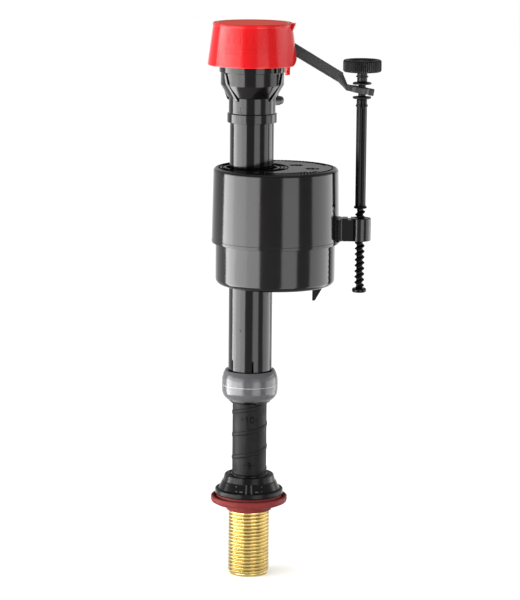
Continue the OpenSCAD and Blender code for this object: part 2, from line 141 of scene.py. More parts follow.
# cover and lever
COVER_WALL = 1.5
COVER_LOW_R = 22.5
COVER_HIGH_R = 19.7
COVER_FOOT = 224.9
COVER_RISE = 21.2
COVER_LEAN = (COVER_LOW_R - COVER_HIGH_R) / COVER_RISE
COVER_SHOULDER = 229.4
COVER_RIBS = (100, 180, 260)
COVER_RIB_WIDTH = 1.5
TAB_ANGLE = -35.5
TAB_WIDTH = 2.6
LUG_ANGLE = -8.0
LUG_WIDTH = 4.6
RELIEF_R = 0.22
# rows of relief: height, length of a bar, gap between bars, count, how tall
RELIEF_ROWS = ((236.8, 0.0, 3.2, 9, 3.0), (234.0, 1.9, 0.9, 11, 0.0), (231.8, 1.9, 0.9, 11, 0.0))
ARM_WIDTH = 3.0
ARM_HEIGHT = 5.6
ARM_SLOPE = 30.5
ARM_END = 44.3
EYE_TILT = 10.0
EYE_THICK = 3.0
EYE_R = 4.2
EYE_SLOT_R = 2.4
EYE_SLOT = 2.3
PIN_HOLE = 1.25

# knob and rod
KNURL_COUNT = 60
KNURL_DEPTH = 0.5
KNURL_SHARPNESS = 0.7
HUB_R = 2.56
HUB_HEIGHT = 5.0
ROD_R = 2.65
ROD_CORE = 1.2
ROD_PITCH = 2.9
ROD_ROOT = 1.55
ROD_CREST = 2.58
ROD_THREAD_LOW = 112.0
ROD_THREAD_HIGH = 152.0
ROD_THREAD_STEPS = 12
ROD_THREAD_SHARPNESS = 1.5
FLUTE_COUNT = 6
FLUTE_DEPTH = 0.3

# float
FLOAT_TOP_R = 31.5
FLOAT_LOW_R = 32.3
FLOAT_BASE_R = 30.2
FLOAT_WALL = 1.8
FLOAT_TAPER_TOP = 141.0
GUIDE_BORE = 12.0
GUIDE_R = 13.6
WELL_R = 13.0
WELL_DEPTH = 1.6
FIN_DROP = 8.25
FIN_WIDTH = 2.0
FLOAT_RING_R = 0.3
CLAMP_BORE = 2.9
CLAMP_END_R = 5.5
CLAMP_HALF = 4.2
# round recesses in the top: x, y, radius
RECESSES = ((22.5, 9.0, 3.7), (30.5, -4.5, 3.7), (32.5, -15.0, 1.4))
# rings on the top: centre (none is the float's own axis), radius, first and last angle, dash, gap
FLOAT_RINGS = (
    ((0.0, 0.0), 14.8, -180.0, 180.0, 2.6, 2.6),
    ((0.0, 0.0), 16.6, -180.0, 170.0, 352.0, 20.0),
    ((0.0, 0.0), 18.4, -60.0, 60.0, 116.0, 20.0),
    (None, 28.6, -180.0, 180.0, 2.4, 1.4),
    (None, 26.6, 20.0, 80.0, 1.4, 1.4),
    (None, 25.6, -110.0, -40.0, 2.4, 1.6),
    (None, 23.6, -100.0, -50.0, 1.4, 1.4),
)

# picture: lens and floor in millimetres, other sizes in metres, angles in degrees
LENS = 171.0
CAMERA_DISTANCE = 1.4475
CAMERA_DOWN = 9.9
CAMERA_ROLL = 0.52
AIM_RIGHT = 0.0048
AIM_UP = 0.0009
# soft panels: name, angles from the camera's side in degrees, share of the key
PANELS = (
    ("key_left", (-108, -81), 1.15),
    ("key_middle", (-81, -54), 0.95),
    ("key_right", (-54, -28), 0.78),
    ("front_right", (13, 42), 0.42),
    ("right", (69, 128), 0.32),
    ("rim", (140, 158), 0.025),
)
SLOPE_STRIPS = 10
SLOPE_NEAR = 0.2
SLOPE_FAR = 1.08
SLOPE_RISE = 0.19
HIGH_REACH = 1.6
HIGH_LOW = 0.4
HIGH_TOP = 0.54
KEY = 18.5
OVERHEAD = 0.6
OVERHEAD_SPREAD = 50.0
SURROUND = 0.9
FLOOR_R = 14000.0
FLOOR_GRAIN = 900.0

# hidden CAD parts that are carried over, by slot
INNER = {
    "white_plastic": ("inlet_strainer", "feed_tube", "valve_seat", "diaphragm_plate"),
    "black_rubber": ("flow_washer", "shank_o_ring", "feed_seal", "diaphragm", "pilot_pad"),
    "steel": ("metering_pin", "lever_pin"),
    GLOSS: ("valve_cap",),
}
# The cap's facets are too fine for a bevel. A bevel on the diaphragm and its plate would add
# touching triangles at rest, which would hide from the clash test that the plate sinks into it.
LEFT_PLAIN = ("valve_cap", "diaphragm", "diaphragm_plate")
SOFT_EDGE = 0.12
SOFT_FROM = 50.0

# metals: colour, colour of the painted shade in the grooves, roughness, width of a cutting line
METALS = {
    "brass": ((0.5, 0.385, 0.15), (0.25, 0.18, 0.03), 0.2, 0.12),
    "steel": ((0.62, 0.62, 0.63), (0.25, 0.25, 0.26), 0.25, 0.1),
}
# plastics and rubbers: colour, roughness, specular level, and what differs from the usual
PLASTICS = {
    GLOSS: ((0.0014, 0.0011, 0.0011), 0.12, 0.155, {}),
    SATIN: ((0.0034, 0.003, 0.003), 0.4, 0.13, {"grain": 0.015}),
    "tube_black": ((0.0036, 0.0032, 0.0033), 0.48, 0.07, {"grain": 0.02}),
    "foot_black": ((0.002, 0.0017, 0.0017), 0.2, 0.1, {"grain": 0.01}),
    "rod_black": ((0.001, 0.0008, 0.0008), 0.15, 0.06, {}),
    # strongly lightened edges on the lever: partly wear, partly painted highlight
    "grained_black": ((0.011, 0.0105, 0.011), 0.4, 0.2, {"grain": 0.03, "edge": 2.2}),
    # a lighter black whose colour and lightened edges are painted highlight on the flange's ribs
    # and marks
    "painted_highlight_black": ((0.02, 0.0195, 0.02), 0.3, 0.3, {"edge": 2.0}),
    # near-black with almost no reflection: painted shade on the raised numbers and the float's
    # relief, so they read as sunk lines
    "painted_shade_black": ((0.0008, 0.0008, 0.0008), 0.7, 0.02, {}),
    "black_rubber": ((0.016, 0.016, 0.016), 0.6, 0.35, {"grain": 0.03}),
    "maroon_rubber": ((0.1, 0.0125, 0.012), 0.55, 0.08, {"grain": 0.03}),
    "white_plastic": ((0.62, 0.61, 0.57), 0.3, 0.45, {"mottle": 0.04}),
    # pale grey that paints the highlight along the lock ring's parting line
    "painted_highlight_grey": ((0.42, 0.42, 0.43), 0.25, 0.4, {"mottle": 0.1}),
    "grey_plastic": ((0.035, 0.035, 0.037), 0.2, 0.24, {"mottle": 0.06, "cloudy": 0.15}),
    # the red's upward faces carry a painted sheen colour in place of a specular reflection, which
    # is turned off there
    "red_plastic": ((0.238, 0.0025, 0.0035), 0.15, 0.125,
                    {"mottle": 0.05, "edge": 1.2, "top": 0.0, "painted_top_sheen": (0.5, 0.085, 0.065)}),
}


class Place:
    """A CAD node's box in millimetres."""

    def __init__(self, node):
        low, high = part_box(node)
        self.x0, self.y0, self.z0 = (v / MM for v in low)
        self.x1, self.y1, self.z1 = (v / MM for v in high)
        self.cx = (self.x0 + self.x1) / 2
        self.cy = (self.y0 + self.y1) / 2
        self.cz = (self.z0 + self.z1) / 2
        self.r = (self.y1 - self.y0) / 2


# ---- mesh helpers, all in millimetres ----


def around(angle, r, z, centre=(0.0, 0.0)):
    """Point at an angle in degrees, a radius and a height."""
    a = radians(angle)
    return Vector((centre[0] + r * cos(a), centre[1] + r * sin(a), z))


def placed(name, data):
    """New object in the scene."""
    obj = bpy.data.objects.new(name, data)
    bpy.context.scene.collection.objects.link(obj)
    return obj


def made(name, bm):
    """Object from a bmesh in millimetres, smooth except at sharp angles."""
    bmesh.ops.recalc_face_normals(bm, faces=bm.faces)
    bmesh.ops.scale(bm, vec=(MM, MM, MM), verts=bm.verts)
    mesh = bpy.data.meshes.new(name)
    bm.to_mesh(mesh)
    bm.free()
    obj = placed(name, mesh)
    smooth(obj)
    return obj


def smooth(obj, sharp=SHARP):
    """Smooth shading with sharp edges kept."""
    obj.data.shade_smooth()
    obj.data.set_sharp_from_angle(angle=radians(sharp))


def bake(obj):
    """Writes the object's modifiers into its mesh."""
    bpy.context.view_layer.update()
    graph = bpy.context.evaluated_depsgraph_get()
    mesh = bpy.data.meshes.new_from_object(obj.evaluated_get(graph))
    obj.modifiers.clear()
    obj.data = mesh


def clean(obj):
    """Clears doubled points, slivers, needless points and gaps that a cut leaves."""
    bm = bmesh.new()
    bm.from_mesh(obj.data)
    bmesh.ops.remove_doubles(bm, verts=bm.verts, dist=0.002 * MM)
    bmesh.ops.dissolve_degenerate(bm, edges=bm.edges, dist=0.001 * MM)
    spare = [v for v in bm.verts if len(v.link_edges) == 2 and v.calc_edge_angle(TURN) < STRAIGHT]
    bmesh.ops.dissolve_verts(bm, verts=spare)
    gaps = [edge for edge in bm.edges if edge.is_boundary]
    if gaps:
        bmesh.ops.holes_fill(bm, edges=gaps, sides=0)
    bm.to_mesh(obj.data)
    bm.free()
    smooth(obj)


def combine(obj, tools, how):
    """Boolean of obj with each tool, which is then removed."""
    for tool in tools:
        step = obj.modifiers.new("combine", "BOOLEAN")
        step.operation = how
        step.solver = "EXACT"
        step.object = tool
        bake(obj)
        bpy.data.objects.remove(tool)
    clean(obj)


def cut(obj, *tools):
    """Takes the tools away from obj."""
    combine(obj, tools, "DIFFERENCE")


def join(obj, *tools):
    """Adds the tools to obj as one solid."""
    combine(obj, tools, "UNION")


def add_bevel(obj, name, width, angle):
    """Live two-step bevel on edges sharper than an angle in degrees."""
    step = obj.modifiers.new(name, "BEVEL")
    step.width = width * MM
    step.segments = 2
    step.limit_method = "ANGLE"
    step.angle_limit = radians(angle)
    step.use_clamp_overlap = True


def bevelled(obj, width):
    """Rounds the sharp edges of the mesh itself."""
    add_bevel(obj, "bevel", width, BEVEL_FROM)
    bake(obj)
    clean(obj)
    return obj


def rounded(points, radius):
    """Closed outline with each corner replaced by an arc."""
    arcs = []
    count = len(points)
    for i, point in enumerate(points):
        here = Vector(point)
        back = Vector(points[i - 1]) - here
        ahead = Vector(points[(i + 1) % count]) - here
        arcs += arc_at(here, back, ahead, radius)
    return arcs


def arc_at(here, back, ahead, radius):
    """Arc that replaces one corner, or the corner itself where it is straight or on the axis."""
    if abs(here.x) < TINY or min(back.length, ahead.length) < TINY:
        return [tuple(here)]
    opening = back.angle(ahead)
    if opening > radians(172):
        return [tuple(here)]
    reach = min(radius / tan(opening / 2), 0.45 * min(back.length, ahead.length))
    start = here + back.normalized() * reach
    end = here + ahead.normalized() * reach
    middle = (back.normalized() + ahead.normalized()).normalized()
    centre = here + middle * (reach / cos(opening / 2))
    a = start - centre
    b = end - centre
    swing = a.angle_signed(b)
    turns = [-swing * k / CORNER_STEPS for k in range(CORNER_STEPS + 1)]
    return [tuple(centre + turned(a, turn)) for turn in turns]


def turned(vector, angle):
    """2D vector turned anticlockwise."""
    c = cos(angle)
    s = sin(angle)
    return Vector((vector.x * c - vector.y * s, vector.x * s + vector.y * c))


def arc(x, y, r, start, swing, steps):
    """Points on an arc, from an angle through a swing in degrees."""
    points = []
    for k in range(steps + 1):
        a = radians(start + swing * k / steps)
        points.append((x + r * cos(a), y + r * sin(a)))
    return points


def offset(x, y, *steps):
    """Outline points given as steps from one point."""
    return [(x + across, y + up) for across, up in steps]


def bridge(bm, a, b):
    """Faces between two rings, either of which may be a single point."""
    count = max(len(a), len(b))
    for i in range(count):
        k = (i + 1) % count
        corners = [a[i % len(a)], a[k % len(a)], b[k % len(b)], b[i % len(b)]]
        unique = list(dict.fromkeys(corners))
        if len(unique) > 2:
            bm.faces.new(unique)


def lathe(name, outline, segments=MEDIUM, centre=(0.0, 0.0), wave=None):
    """Closed solid turned from a closed outline of (radius, height) points."""
    bm = bmesh.new()
    rings = []
    for r, z in outline:
        if r < TINY:
            rings.append([bm.verts.new((centre[0], centre[1], z))])
            continue
        ring = []
        for i in range(segments):
            angle = 360.0 * i / segments
            lift = wave(angle, r, z) if wave else 0.0
            ring.append(bm.verts.new(around(angle, r + lift, z, centre)))
        rings.append(ring)
    for a, b in zip(rings, rings[1:] + rings[:1]):
        if len(a) > 1 or len(b) > 1:
            bridge(bm, a, b)
    return made(name, bm)


def rod_between(name, r, low, high, centre=(0.0, 0.0), segments=FINE):
    """Plain cylinder between two heights."""
    outline = [(0, low), (r, low), (r, high), (0, high)]
    return lathe(name, outline, segments, centre)


def slab(name, outline, thick, place):
    """Outline extruded about its middle plane, then placed by a matrix."""
    bm = bmesh.new()
    lower = [bm.verts.new((x, y, -thick / 2)) for x, y in outline]
    upper = [bm.verts.new((x, y, thick / 2)) for x, y in outline]
    bm.faces.new(lower)
    bm.faces.new(upper)
    bridge(bm, lower, upper)
    bmesh.ops.transform(bm, matrix=place, verts=bm.verts)
    return made(name, bm)


def upright(y):
    """Places an outline in the X-Z plane, extruded along Y about a plane."""
    turn = Matrix(((1, 0, 0), (0, 0, -1), (0, 1, 0))).to_4x4()
    return Matrix.Translation((0, y, 0)) @ turn


def sideways(x):
    """Places an outline in the Y-Z plane, extruded along X about a plane."""
    turn = Matrix(((0, 0, 1), (1, 0, 0), (0, 1, 0))).to_4x4()
    return Matrix.Translation((x, 0, 0)) @ turn


def spun(angle):
    """Turn round the Z axis by an angle in degrees."""
    return Matrix.Rotation(radians(angle), 4, "Z")


def spoke(angle):
    """Places a (radius, height) outline at an angle round the Z axis."""
    return spun(angle) @ upright(0)


def outward(obj, angle, z, reach=0.0):
    """Lays a lathed piece along a ray that leaves the Z axis at an angle and a height."""
    turn = spun(angle) @ Matrix.Rotation(pi / 2, 4, "Y")
    out = Matrix.Translation((0, 0, reach * MM))
    obj.data.transform(Matrix.Translation((0, 0, z * MM)) @ turn @ out)


def on_pin(obj, pin):
    """Lays a lathed piece along the lever's pin."""
    place = Matrix.Translation((pin.cx * MM, pin.cy * MM, pin.cz * MM))
    obj.data.transform(place @ upright(0))
    return obj


def prism(name, outline, z):
    """Outline in the X-Y plane, extruded between two heights."""
    return slab(name, outline, z[1] - z[0], Matrix.Translation((0, 0, (z[0] + z[1]) / 2)))


def rectangle(x, y):
    """Outline of a rectangle from two ranges."""
    return [(x[0], y[0]), (x[1], y[0]), (x[1], y[1]), (x[0], y[1])]


def arc_block(name, r, angles, z, centre=(0.0, 0.0)):
    """Curved block between two radii, two angles and two heights."""
    start, end = angles
    inner, outer = [arc(*centre, size, start, end - start, ARC_STEPS) for size in r]
    return prism(name, inner + outer[::-1], z)


def sweep(bm, path, normals, r):
    """Thin rod along a path, closed at both ends."""
    rings = []
    for i, point in enumerate(path):
        ahead = path[min(i + 1, len(path) - 1)] - path[max(i - 1, 0)]
        across = ahead.normalized().cross(normals[i]).normalized()
        ring = []
        for k in range(SWEEP_SIDES):
            a = TURN * k / SWEEP_SIDES
            ring.append(bm.verts.new(point + (across * cos(a) + normals[i] * sin(a)) * r))
        rings.append(ring)
    for a, b in zip(rings, rings[1:]):
        bridge(bm, a, b)
    bm.faces.new(rings[0])
    bm.faces.new(rings[-1])


def on_drum(points, r, z, angle):
    """Flat (across, up) points wrapped on a drum, with their outward normals."""
    path = []
    normals = []
    for across, up in points:
        here = angle + degrees(across / r)
        path.append(around(here, r, z + up))
        normals.append(around(here, 1.0, 0.0))
    return path, normals


def finer(points):
    """The same line with more points on it."""
    fine = [points[0]]
    for a, b in zip(points, points[1:]):
        count = max(1, round(dist(a, b) / FINER_STEP))
        for k in range(1, count + 1):
            fine.append((a[0] + (b[0] - a[0]) * k / count, a[1] + (b[1] - a[1]) * k / count))
    return fine


def run_between(low, high, length):
    """Function of height that is 1 between two heights and falls to 0 at them."""

    def share(z):
        near = min((z - low) / length, (high - z) / length, 1.0)
        near = max(near, 0.0)
        return near * near * (3 - 2 * near)

    return share


def helical_solid(name, root, shape, pitch, low, high, fade, through, segments=MEDIUM):
    """Cylinder whose skin carries a right-hand helix.

    shape is a list of (share of the pitch, height); its middle passes through (angle, z).
    """
    start = through[1] - pitch * (0.5 + through[0] / 360.0)
    start -= pitch * ceil((start - low + 1.05 * pitch) / pitch)
    turns = ceil((high - start) / pitch) + 2
    bm = bmesh.new()
    rows = []
    for turn in range(turns):
        for share, height in shape:
            row = []
            for i in range(segments):
                z = start + pitch * (turn + share + i / segments)
                row.append(bm.verts.new(around(360.0 * i / segments, root + height * fade(z), z)))
            rows.append(row)
    fill_helix(bm, rows, len(shape), segments)
    for z, keep_above in ((low, True), (high, False)):
        geometry = bm.verts[:] + bm.edges[:] + bm.faces[:]
        bmesh.ops.bisect_plane(
            bm, geom=geometry, plane_co=(0, 0, z), plane_no=(0, 0, 1), dist=1e-4,
            clear_inner=keep_above, clear_outer=not keep_above,
        )
    bmesh.ops.holes_fill(bm, edges=[e for e in bm.edges if e.is_boundary], sides=0)
    return made(name, bm)


def fill_helix(bm, rows, per_turn, segments):
    """Faces of a helical grid, where the seam joins each row to the one a turn above."""
    for n in range(len(rows) - 1):
        for i in range(segments):
            k = (i + 1) % segments
            m = n if k else n + per_turn
            if m + 1 < len(rows):
                bm.faces.new([rows[n][i], rows[m][k], rows[m + 1][k], rows[n + 1][i]])


def wave_shape(height, count, sharpness):
    """Rounded thread profile over one pitch."""
    shares = [k / count for k in range(count)]
    return [(t, height * (0.5 - 0.5 * cos(TURN * t)) ** sharpness) for t in shares]


def crest_shape(height, crest):
    """Thread profile over one pitch with a wide rounded crest and a narrow root."""
    shape = []
    for k in range(ARC_STEPS):
        away = abs(k / ARC_STEPS - 0.5)
        t = min((0.5 - away) / (0.5 - crest / 2), 1.0)
        shape.append((k / ARC_STEPS, height * t * t * (3 - 2 * t)))
    return shape


def rib_shape(height, width):
    """Single raised rib in the middle of one pitch."""
    shape = []
    for k in range(RIB_STEPS + 1):
        t = 2.0 * k / RIB_STEPS - 1.0
        shape.append((0.5 + 0.5 * t * width, height * (1 - t ** 4)))
    return shape + [(0.5 + 0.5 * (1.0 + width) / 2, 0.0), (1.0, 0.0)]


# ---- materials ----


class Tree:
    """Short ways to add nodes to a material."""

    def __init__(self, name):
        self.material = bpy.data.materials.new(name)
        self.material.use_nodes = True
        self.nodes = self.material.node_tree.nodes
        self.links = self.material.node_tree.links
        self.shader = self.nodes["Principled BSDF"]
        self.place = self.nodes.new("ShaderNodeTexCoord").outputs["Object"]
        self.geometry = self.nodes.new("ShaderNodeNewGeometry")

    def add(self, kind, output, **inputs):
        """Adds a node, feeds its inputs by name and returns one of its outputs."""
        node = self.nodes.new("ShaderNode" + kind)
        self.fill(node, inputs)
        return node.outputs[output]

    def fill(self, node, inputs):
        for name, value in inputs.items():
            self.feed(node.inputs[name.replace("_", " ")], value)

    def feed(self, socket, value):
        """Links a socket, or sets a plain value."""
        if isinstance(value, bpy.types.NodeSocket):
            self.links.new(value, socket)
        else:
            socket.default_value = value

    def stretched(self, scale):
        """Object coordinates scaled along each axis."""
        return self.add("Mapping", "Vector", Scale=scale, Vector=self.place)

    def noise(self, size, detail=3.0, where=None):
        """Noise whose features are about size millimetres."""
        spot = where or self.place
        return self.add("TexNoise", "Fac", Scale=1.0 / (size * MM), Detail=detail, Vector=spot)

    def remap(self, value, a, b, c=0.0, d=1.0):
        """A value's range from a to b spread over c to d."""
        ends = {"From_Min": a, "From_Max": b, "To_Min": c, "To_Max": d}
        return self.add("MapRange", "Result", **ends, Value=value)

    def math(self, how, a, b):
        """Two values added or multiplied."""
        node = self.nodes.new("ShaderNodeMath")
        node.operation = how
        for socket, value in zip(node.inputs, (a, b)):
            self.feed(socket, value)
        return node.outputs["Value"]

    def mix(self, share, a, b):
        """Mix of two colours."""
        node = self.nodes.new("ShaderNodeMix")
        node.data_type = "RGBA"
        for index, value in ((0, share), (6, a), (7, b)):
            self.feed(node.inputs[index], value)
        return node.outputs[2]

    def up(self):
        """How far the surface faces upwards, from -1 to 1."""
        return self.add("SeparateXYZ", "Z", Vector=self.geometry.outputs["Normal"])

    def bump(self, height, depth):
        """Bump of a depth in millimetres."""
        ends = {"Distance": depth * MM, "Strength": 1.0, "Height": height}
        self.set(Normal=self.add("Bump", "Normal", **ends))

    def set(self, **values):
        """Feeds the shader's inputs."""
        self.fill(self.shader, values)


def shade(colour, factor):
    """A colour made lighter or darker."""
    return (colour[0] * factor, colour[1] * factor, colour[2] * factor, 1.0)


def moulded(name, colour, roughness, specular, grain=0.006, mottle=0.12, edge=1.35, top=0.05,
            painted_top_sheen=None, cloudy=0.0):
    """Moulded plastic or rubber: mottled colour, fine grain, convex edges lightened as wear and
    painted highlight, duller dusty tops, and where a top colour is given, a painted sheen on upward
    faces.
    """
    tree = Tree(name)
    patches = tree.remap(tree.noise(14.0), 0.35, 0.65)
    body = tree.mix(patches, shade(colour, 1.0 - mottle), shade(colour, 1.0 + mottle))
    # painted sheen: where given, upward faces blend towards a lighter colour that stands in for the
    # reflection of the light from above
    if painted_top_sheen:
        body = tree.mix(tree.remap(tree.up(), 0.85, 1.0, 0.0, 0.9), body, shade(painted_top_sheen, 1.0))
    # convex edges are lightened in scuffed patches, partly as wear and partly as a painted
    # highlight
    edge_wear_and_highlight = tree.remap(tree.geometry.outputs["Pointiness"], 0.53, 0.62, 0.0, 0.5)
    scuffs = tree.remap(tree.noise(2.5, 6.0), 0.48, 0.62)
    edge_lit_body = tree.mix(tree.math("MULTIPLY", edge_wear_and_highlight, scuffs), body, shade(colour, edge))
    lying = tree.remap(tree.up(), 0.75, 1.0, 0.0, 0.012)
    settled = tree.math("MULTIPLY", lying, tree.remap(tree.noise(1.2, 5.0), 0.4, 0.7))
    tree.set(Base_Color=tree.mix(settled, edge_lit_body, (0.4, 0.39, 0.37, 1.0)))
    spread = tree.remap(tree.noise(5.0, 5.0), 0.3, 0.7, roughness * 0.85, roughness * 1.2)
    tree.set(Roughness=tree.math("ADD", spread, tree.math("MULTIPLY", settled, 1.5)))
    tree.set(Specular_IOR_Level=tree.remap(tree.up(), 0.9, 0.99, specular, specular * top))
    tree.bump(tree.noise(0.35, 4.0), grain)
    if cloudy:
        tree.set(Subsurface_Weight=cloudy, Subsurface_Scale=0.002, Subsurface_Radius=(1, 1, 1))
    return tree.material


def metal(name, colour, hollow_shade, roughness, line):
    """Turned metal: fine cutting lines, and painted shade that makes the grooves darker than the
    crests.
    """
    tree = Tree(name)
    cloud = tree.remap(tree.noise(6.0, 4.0), 0.35, 0.7)
    body = tree.mix(cloud, shade(colour, 0.88), shade(colour, 1.06))
    # painted shade: concave places, such as the thread's roots, blend in patches towards the shade
    # colour
    shaded_hollow = tree.remap(tree.geometry.outputs["Pointiness"], 0.49, 0.4)
    spots = tree.remap(tree.noise(3.0, 3.0), 0.35, 0.6, 0.6, 1.0)
    tree.set(Base_Color=tree.mix(tree.math("MULTIPLY", shaded_hollow, spots), body, shade(hollow_shade, 1.0)))
    tree.set(Roughness=tree.remap(tree.noise(1.5, 5.0), 0.3, 0.7, roughness * 0.8, roughness * 1.3))
    tree.set(Metallic=1.0)
    tree.bump(tree.noise(line, 3.0, tree.stretched((0.05, 0.05, 1.0))), 0.0008)
    return tree.material


def pale_floor():
    """Plain matt paper floor."""
    tree = Tree("floor")
    fibre = tree.remap(tree.noise(FLOOR_GRAIN), 0.3, 0.7)
    tree.set(Base_Color=tree.mix(fibre, (0.9, 0.9, 0.9, 1.0), (0.93, 0.93, 0.93, 1.0)))
    tree.set(Roughness=0.9, Specular_IOR_Level=0.0)
    return tree.material


def finish_of(name):
    """The metal, plastic or rubber of a name, made once."""
    if name in METALS and name not in finishes:
        finishes[name] = metal(name, *METALS[name])
    elif name not in finishes:
        *look, extras = PLASTICS[name]
        finishes[name] = moulded(name, *look, **extras)
    return finishes[name]


def paint(obj, name):
    """Puts one finish on the whole object."""
    obj.data.materials.clear()
    obj.data.materials.append(finish_of(name))


def keep(obj, body, slot, *nodes, finish=None):
    """Gives a piece its finish and its body, and hides the CAD nodes it stands for."""
    paint(obj, finish or slot)
    even = obj.modifiers.new("even_shading", "WEIGHTED_NORMAL")
    even.keep_sharp = True
    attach(obj, body)
    if nodes:
        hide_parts(*nodes)


# ---- shank group ----


def make_brass_shank():
    """Threaded brass shank: run-in at each end of the thread, collar, spigot and stepped bore."""
    b = Place("brass_shank")
    root = b.r - THREAD_DEPTH
    seat = Place("tank_washer").z0
    fade = run_between(b.z0 + 0.5, seat + 2.0, THREAD_PITCH)
    shank = helical_solid(
        "threaded_brass_shank", root, crest_shape(THREAD_DEPTH, THREAD_CREST), THREAD_PITCH,
        b.z0, seat, fade, (180.0, b.z0 + THREAD_PITCH),
    )
    neck = lathe("neck", rounded([
        (0, seat - 0.6), (root - 0.4, seat - 0.6), (root, seat),
        (BRASS_NECK, seat), (BRASS_NECK, BRASS_COLLAR_TOP), (BRASS_SPIGOT, BRASS_COLLAR_TOP),
        (BRASS_SPIGOT, b.z1), (0, b.z1),
    ], 0.2))
    join(shank, neck)
    bore = lathe("bore", [
        *offset(0, b.z0, (0, -1), (SUPPLY_BORE + 1.2, -1), (SUPPLY_BORE, 0.7)),
        (SUPPLY_BORE, STRAINER_LOW), (STRAINER_BORE, STRAINER_LOW),
        (STRAINER_BORE, STRAINER_SEAT), (BRASS_BORE, STRAINER_SEAT), (BRASS_BORE, b.z1 + 1),
        (0, b.z1 + 1),
    ])
    cut(shank, bore)
    smooth(shank, THREAD_SHARP)
    keep(shank, "shank", "brass", "brass_shank")


def make_shank_tube():
    """Shank tube with the helical rib that the riser climbs."""
    b = Place("shank_tube")
    flange = Place("base_flange")
    fade = run_between(flange.z1 + 0.5, b.z1 - 4.0, 1.5)
    shape = rib_shape(RIB_HEIGHT, RIB_WIDTH / RIB_PITCH)
    tube = helical_solid(
        "ribbed_shank_tube", TUBE_R, shape, RIB_PITCH, b.z0, b.z1 - 0.6, fade,
        (180.0, RIB_CROSSES_LEFT_AT),
    )
    top = lathe("top", rounded([
        (0, b.z1 - 1.2), (TUBE_R - 0.05, b.z1 - 1.2), (TUBE_R - 0.1, b.z1), (0, b.z1)
    ], 0.5))
    join(tube, top)
    bore = lathe("bore", [
        (0, b.z0 - 1), (BRASS_SPIGOT, b.z0 - 1), (BRASS_SPIGOT, Place("brass_shank").z1),
        (TUBE_BORE, Place("brass_shank").z1), (TUBE_BORE, b.z1 - 1.0),
        (TUBE_BORE + 0.8, b.z1 + 0.5), (0, b.z1 + 0.5),
    ])
    cut(tube, bore)
    keep(tube, "shank", SATIN, "shank_tube", finish="tube_black")


def draw(bm, points, width, height, shift, r, z, angle, thick=STROKE_R):
    """One stroke of a mark on a drum."""
    flat = [(shift + x * width, y * height) for x, y in points]
    path, normals = on_drum(finer(flat), r, z, angle)
    sweep(bm, path, normals, thick)


def make_height_scale():
    """Generic height numbers up the front of the shank tube, with a dash on each side."""
    bm = bmesh.new()
    r = TUBE_R - 0.06
    for k in range(SCALE_COUNT):
        z = SCALE_FIRST + SCALE_STEP * k
        number = str(SCALE_START + k)
        span = len(number) * DIGIT_WIDTH + (len(number) - 1) * DIGIT_GAP
        for i, digit in enumerate(number):
            shift = i * (DIGIT_WIDTH + DIGIT_GAP) - span / 2
            draw(bm, DIGITS[digit], DIGIT_WIDTH, DIGIT_HEIGHT, shift, r, z, FRONT)
        for side in (-1, 1):
            shift = side * (span / 2 + 1.5) - 0.5
            draw(bm, [(0, 0.5), (1, 0.5)], 1.0, DIGIT_HEIGHT, shift, r, z, FRONT)
    scale = made("height_scale", bm)
    # the raised numbers are drawn near-black as painted shade of engraved strokes
    keep(scale, "shank", SATIN, finish="painted_shade_black")


def make_base_flange():
    """Bell-shaped foot with its collar, sloping shoulder, steep wall and rim."""
    b = Place("base_flange")
    pad = Place("tank_washer").z1
    rim = b.z1 - FLANGE_HEIGHT
    tube = TUBE_R - 0.02
    flange = lathe("base_flange_bell", rounded([
        (BRASS_NECK, pad), *offset(b.r, pad, (-0.8, 0), (-0.1, 0.3), (0, 0.7)),
        *offset(b.r, rim, (0, -0.4), (-0.4, 0), (-1.6, 0.1), (-1.8, 0.1), (-3.5, 3.7), (-4.0, 4.1),
                (-4.8, 7.0), (-5.4, 7.4), (-6.5, 7.4), (-7.0, 6.5)),
        (tube + 0.9, rim + 6.5), *offset(tube, b.z1, (0.7, -0.5), (0, 0)), (tube, b.z0),
        (BRASS_NECK, b.z0),
    ], 0.25), FINE)
    keep(flange, "shank", SATIN, "base_flange", finish="foot_black")


def make_flange_ribs():
    """Pairs of upright ribs with flared ends, and small raised marks, on the steep wall."""
    b = Place("base_flange")
    rim = b.z1 - FLANGE_HEIGHT
    for side, middle in (("front", FRONT), ("back", -FRONT)):
        for name, turn in (("left", -5), ("right", 5)):
            rib = slab(f"flange_rib_{side}_{name}", offset(
                b.r, rim, (-3.8, -0.1), (-0.9, -0.1), (-1.4, 0.7), (-2.9, 3.2), (-3.2, 4.2),
                (-4.6, 4.2),
            ), FLANGE_RIB_WIDTH, spoke(middle + turn))
            # the ribs get the lighter black as a painted highlight
            keep(bevelled(rib, 0.15), "shank", GLOSS, finish="painted_highlight_black")
    bm = bmesh.new()
    for across, up, length in FLANGE_MARKS:
        for side in (-1, 1):
            shift = side * across - length / 2
            r = b.r - 2.0 - FLANGE_LEAN * up
            draw(bm, [(0, 0), (1, 0)], length, 1.0, shift, r, rim + 0.5 + up, FRONT, FLANGE_MARK_R)
    # the marks get the lighter black as a painted highlight
    keep(made("flange_marks", bm), "shank", GLOSS, finish="painted_highlight_black")


def make_tank_washer():
    """Cupped rubber washer with a raised pad under the flange."""
    b = Place("tank_washer")
    washer = lathe("cupped_tank_washer", rounded([
        (BRASS_NECK, b.z0), (11.6, b.z0), (12.0, -0.4), (12.4, 0), (17.4, 0), (b.r - 0.3, 0.9),
        (b.r, 1.9), *offset(b.r, WASHER_RIM, (0, -0.4), (-0.5, 0), (-1.3, 0)),
        *offset(b.r, WASHER_GROOVE, (-2.0, 0), (-2.7, 0)), (b.r - 3.0, b.z1), (BRASS_NECK, b.z1),
    ], 0.35), FINE)
    keep(washer, "shank", "maroon_rubber", "tank_washer")


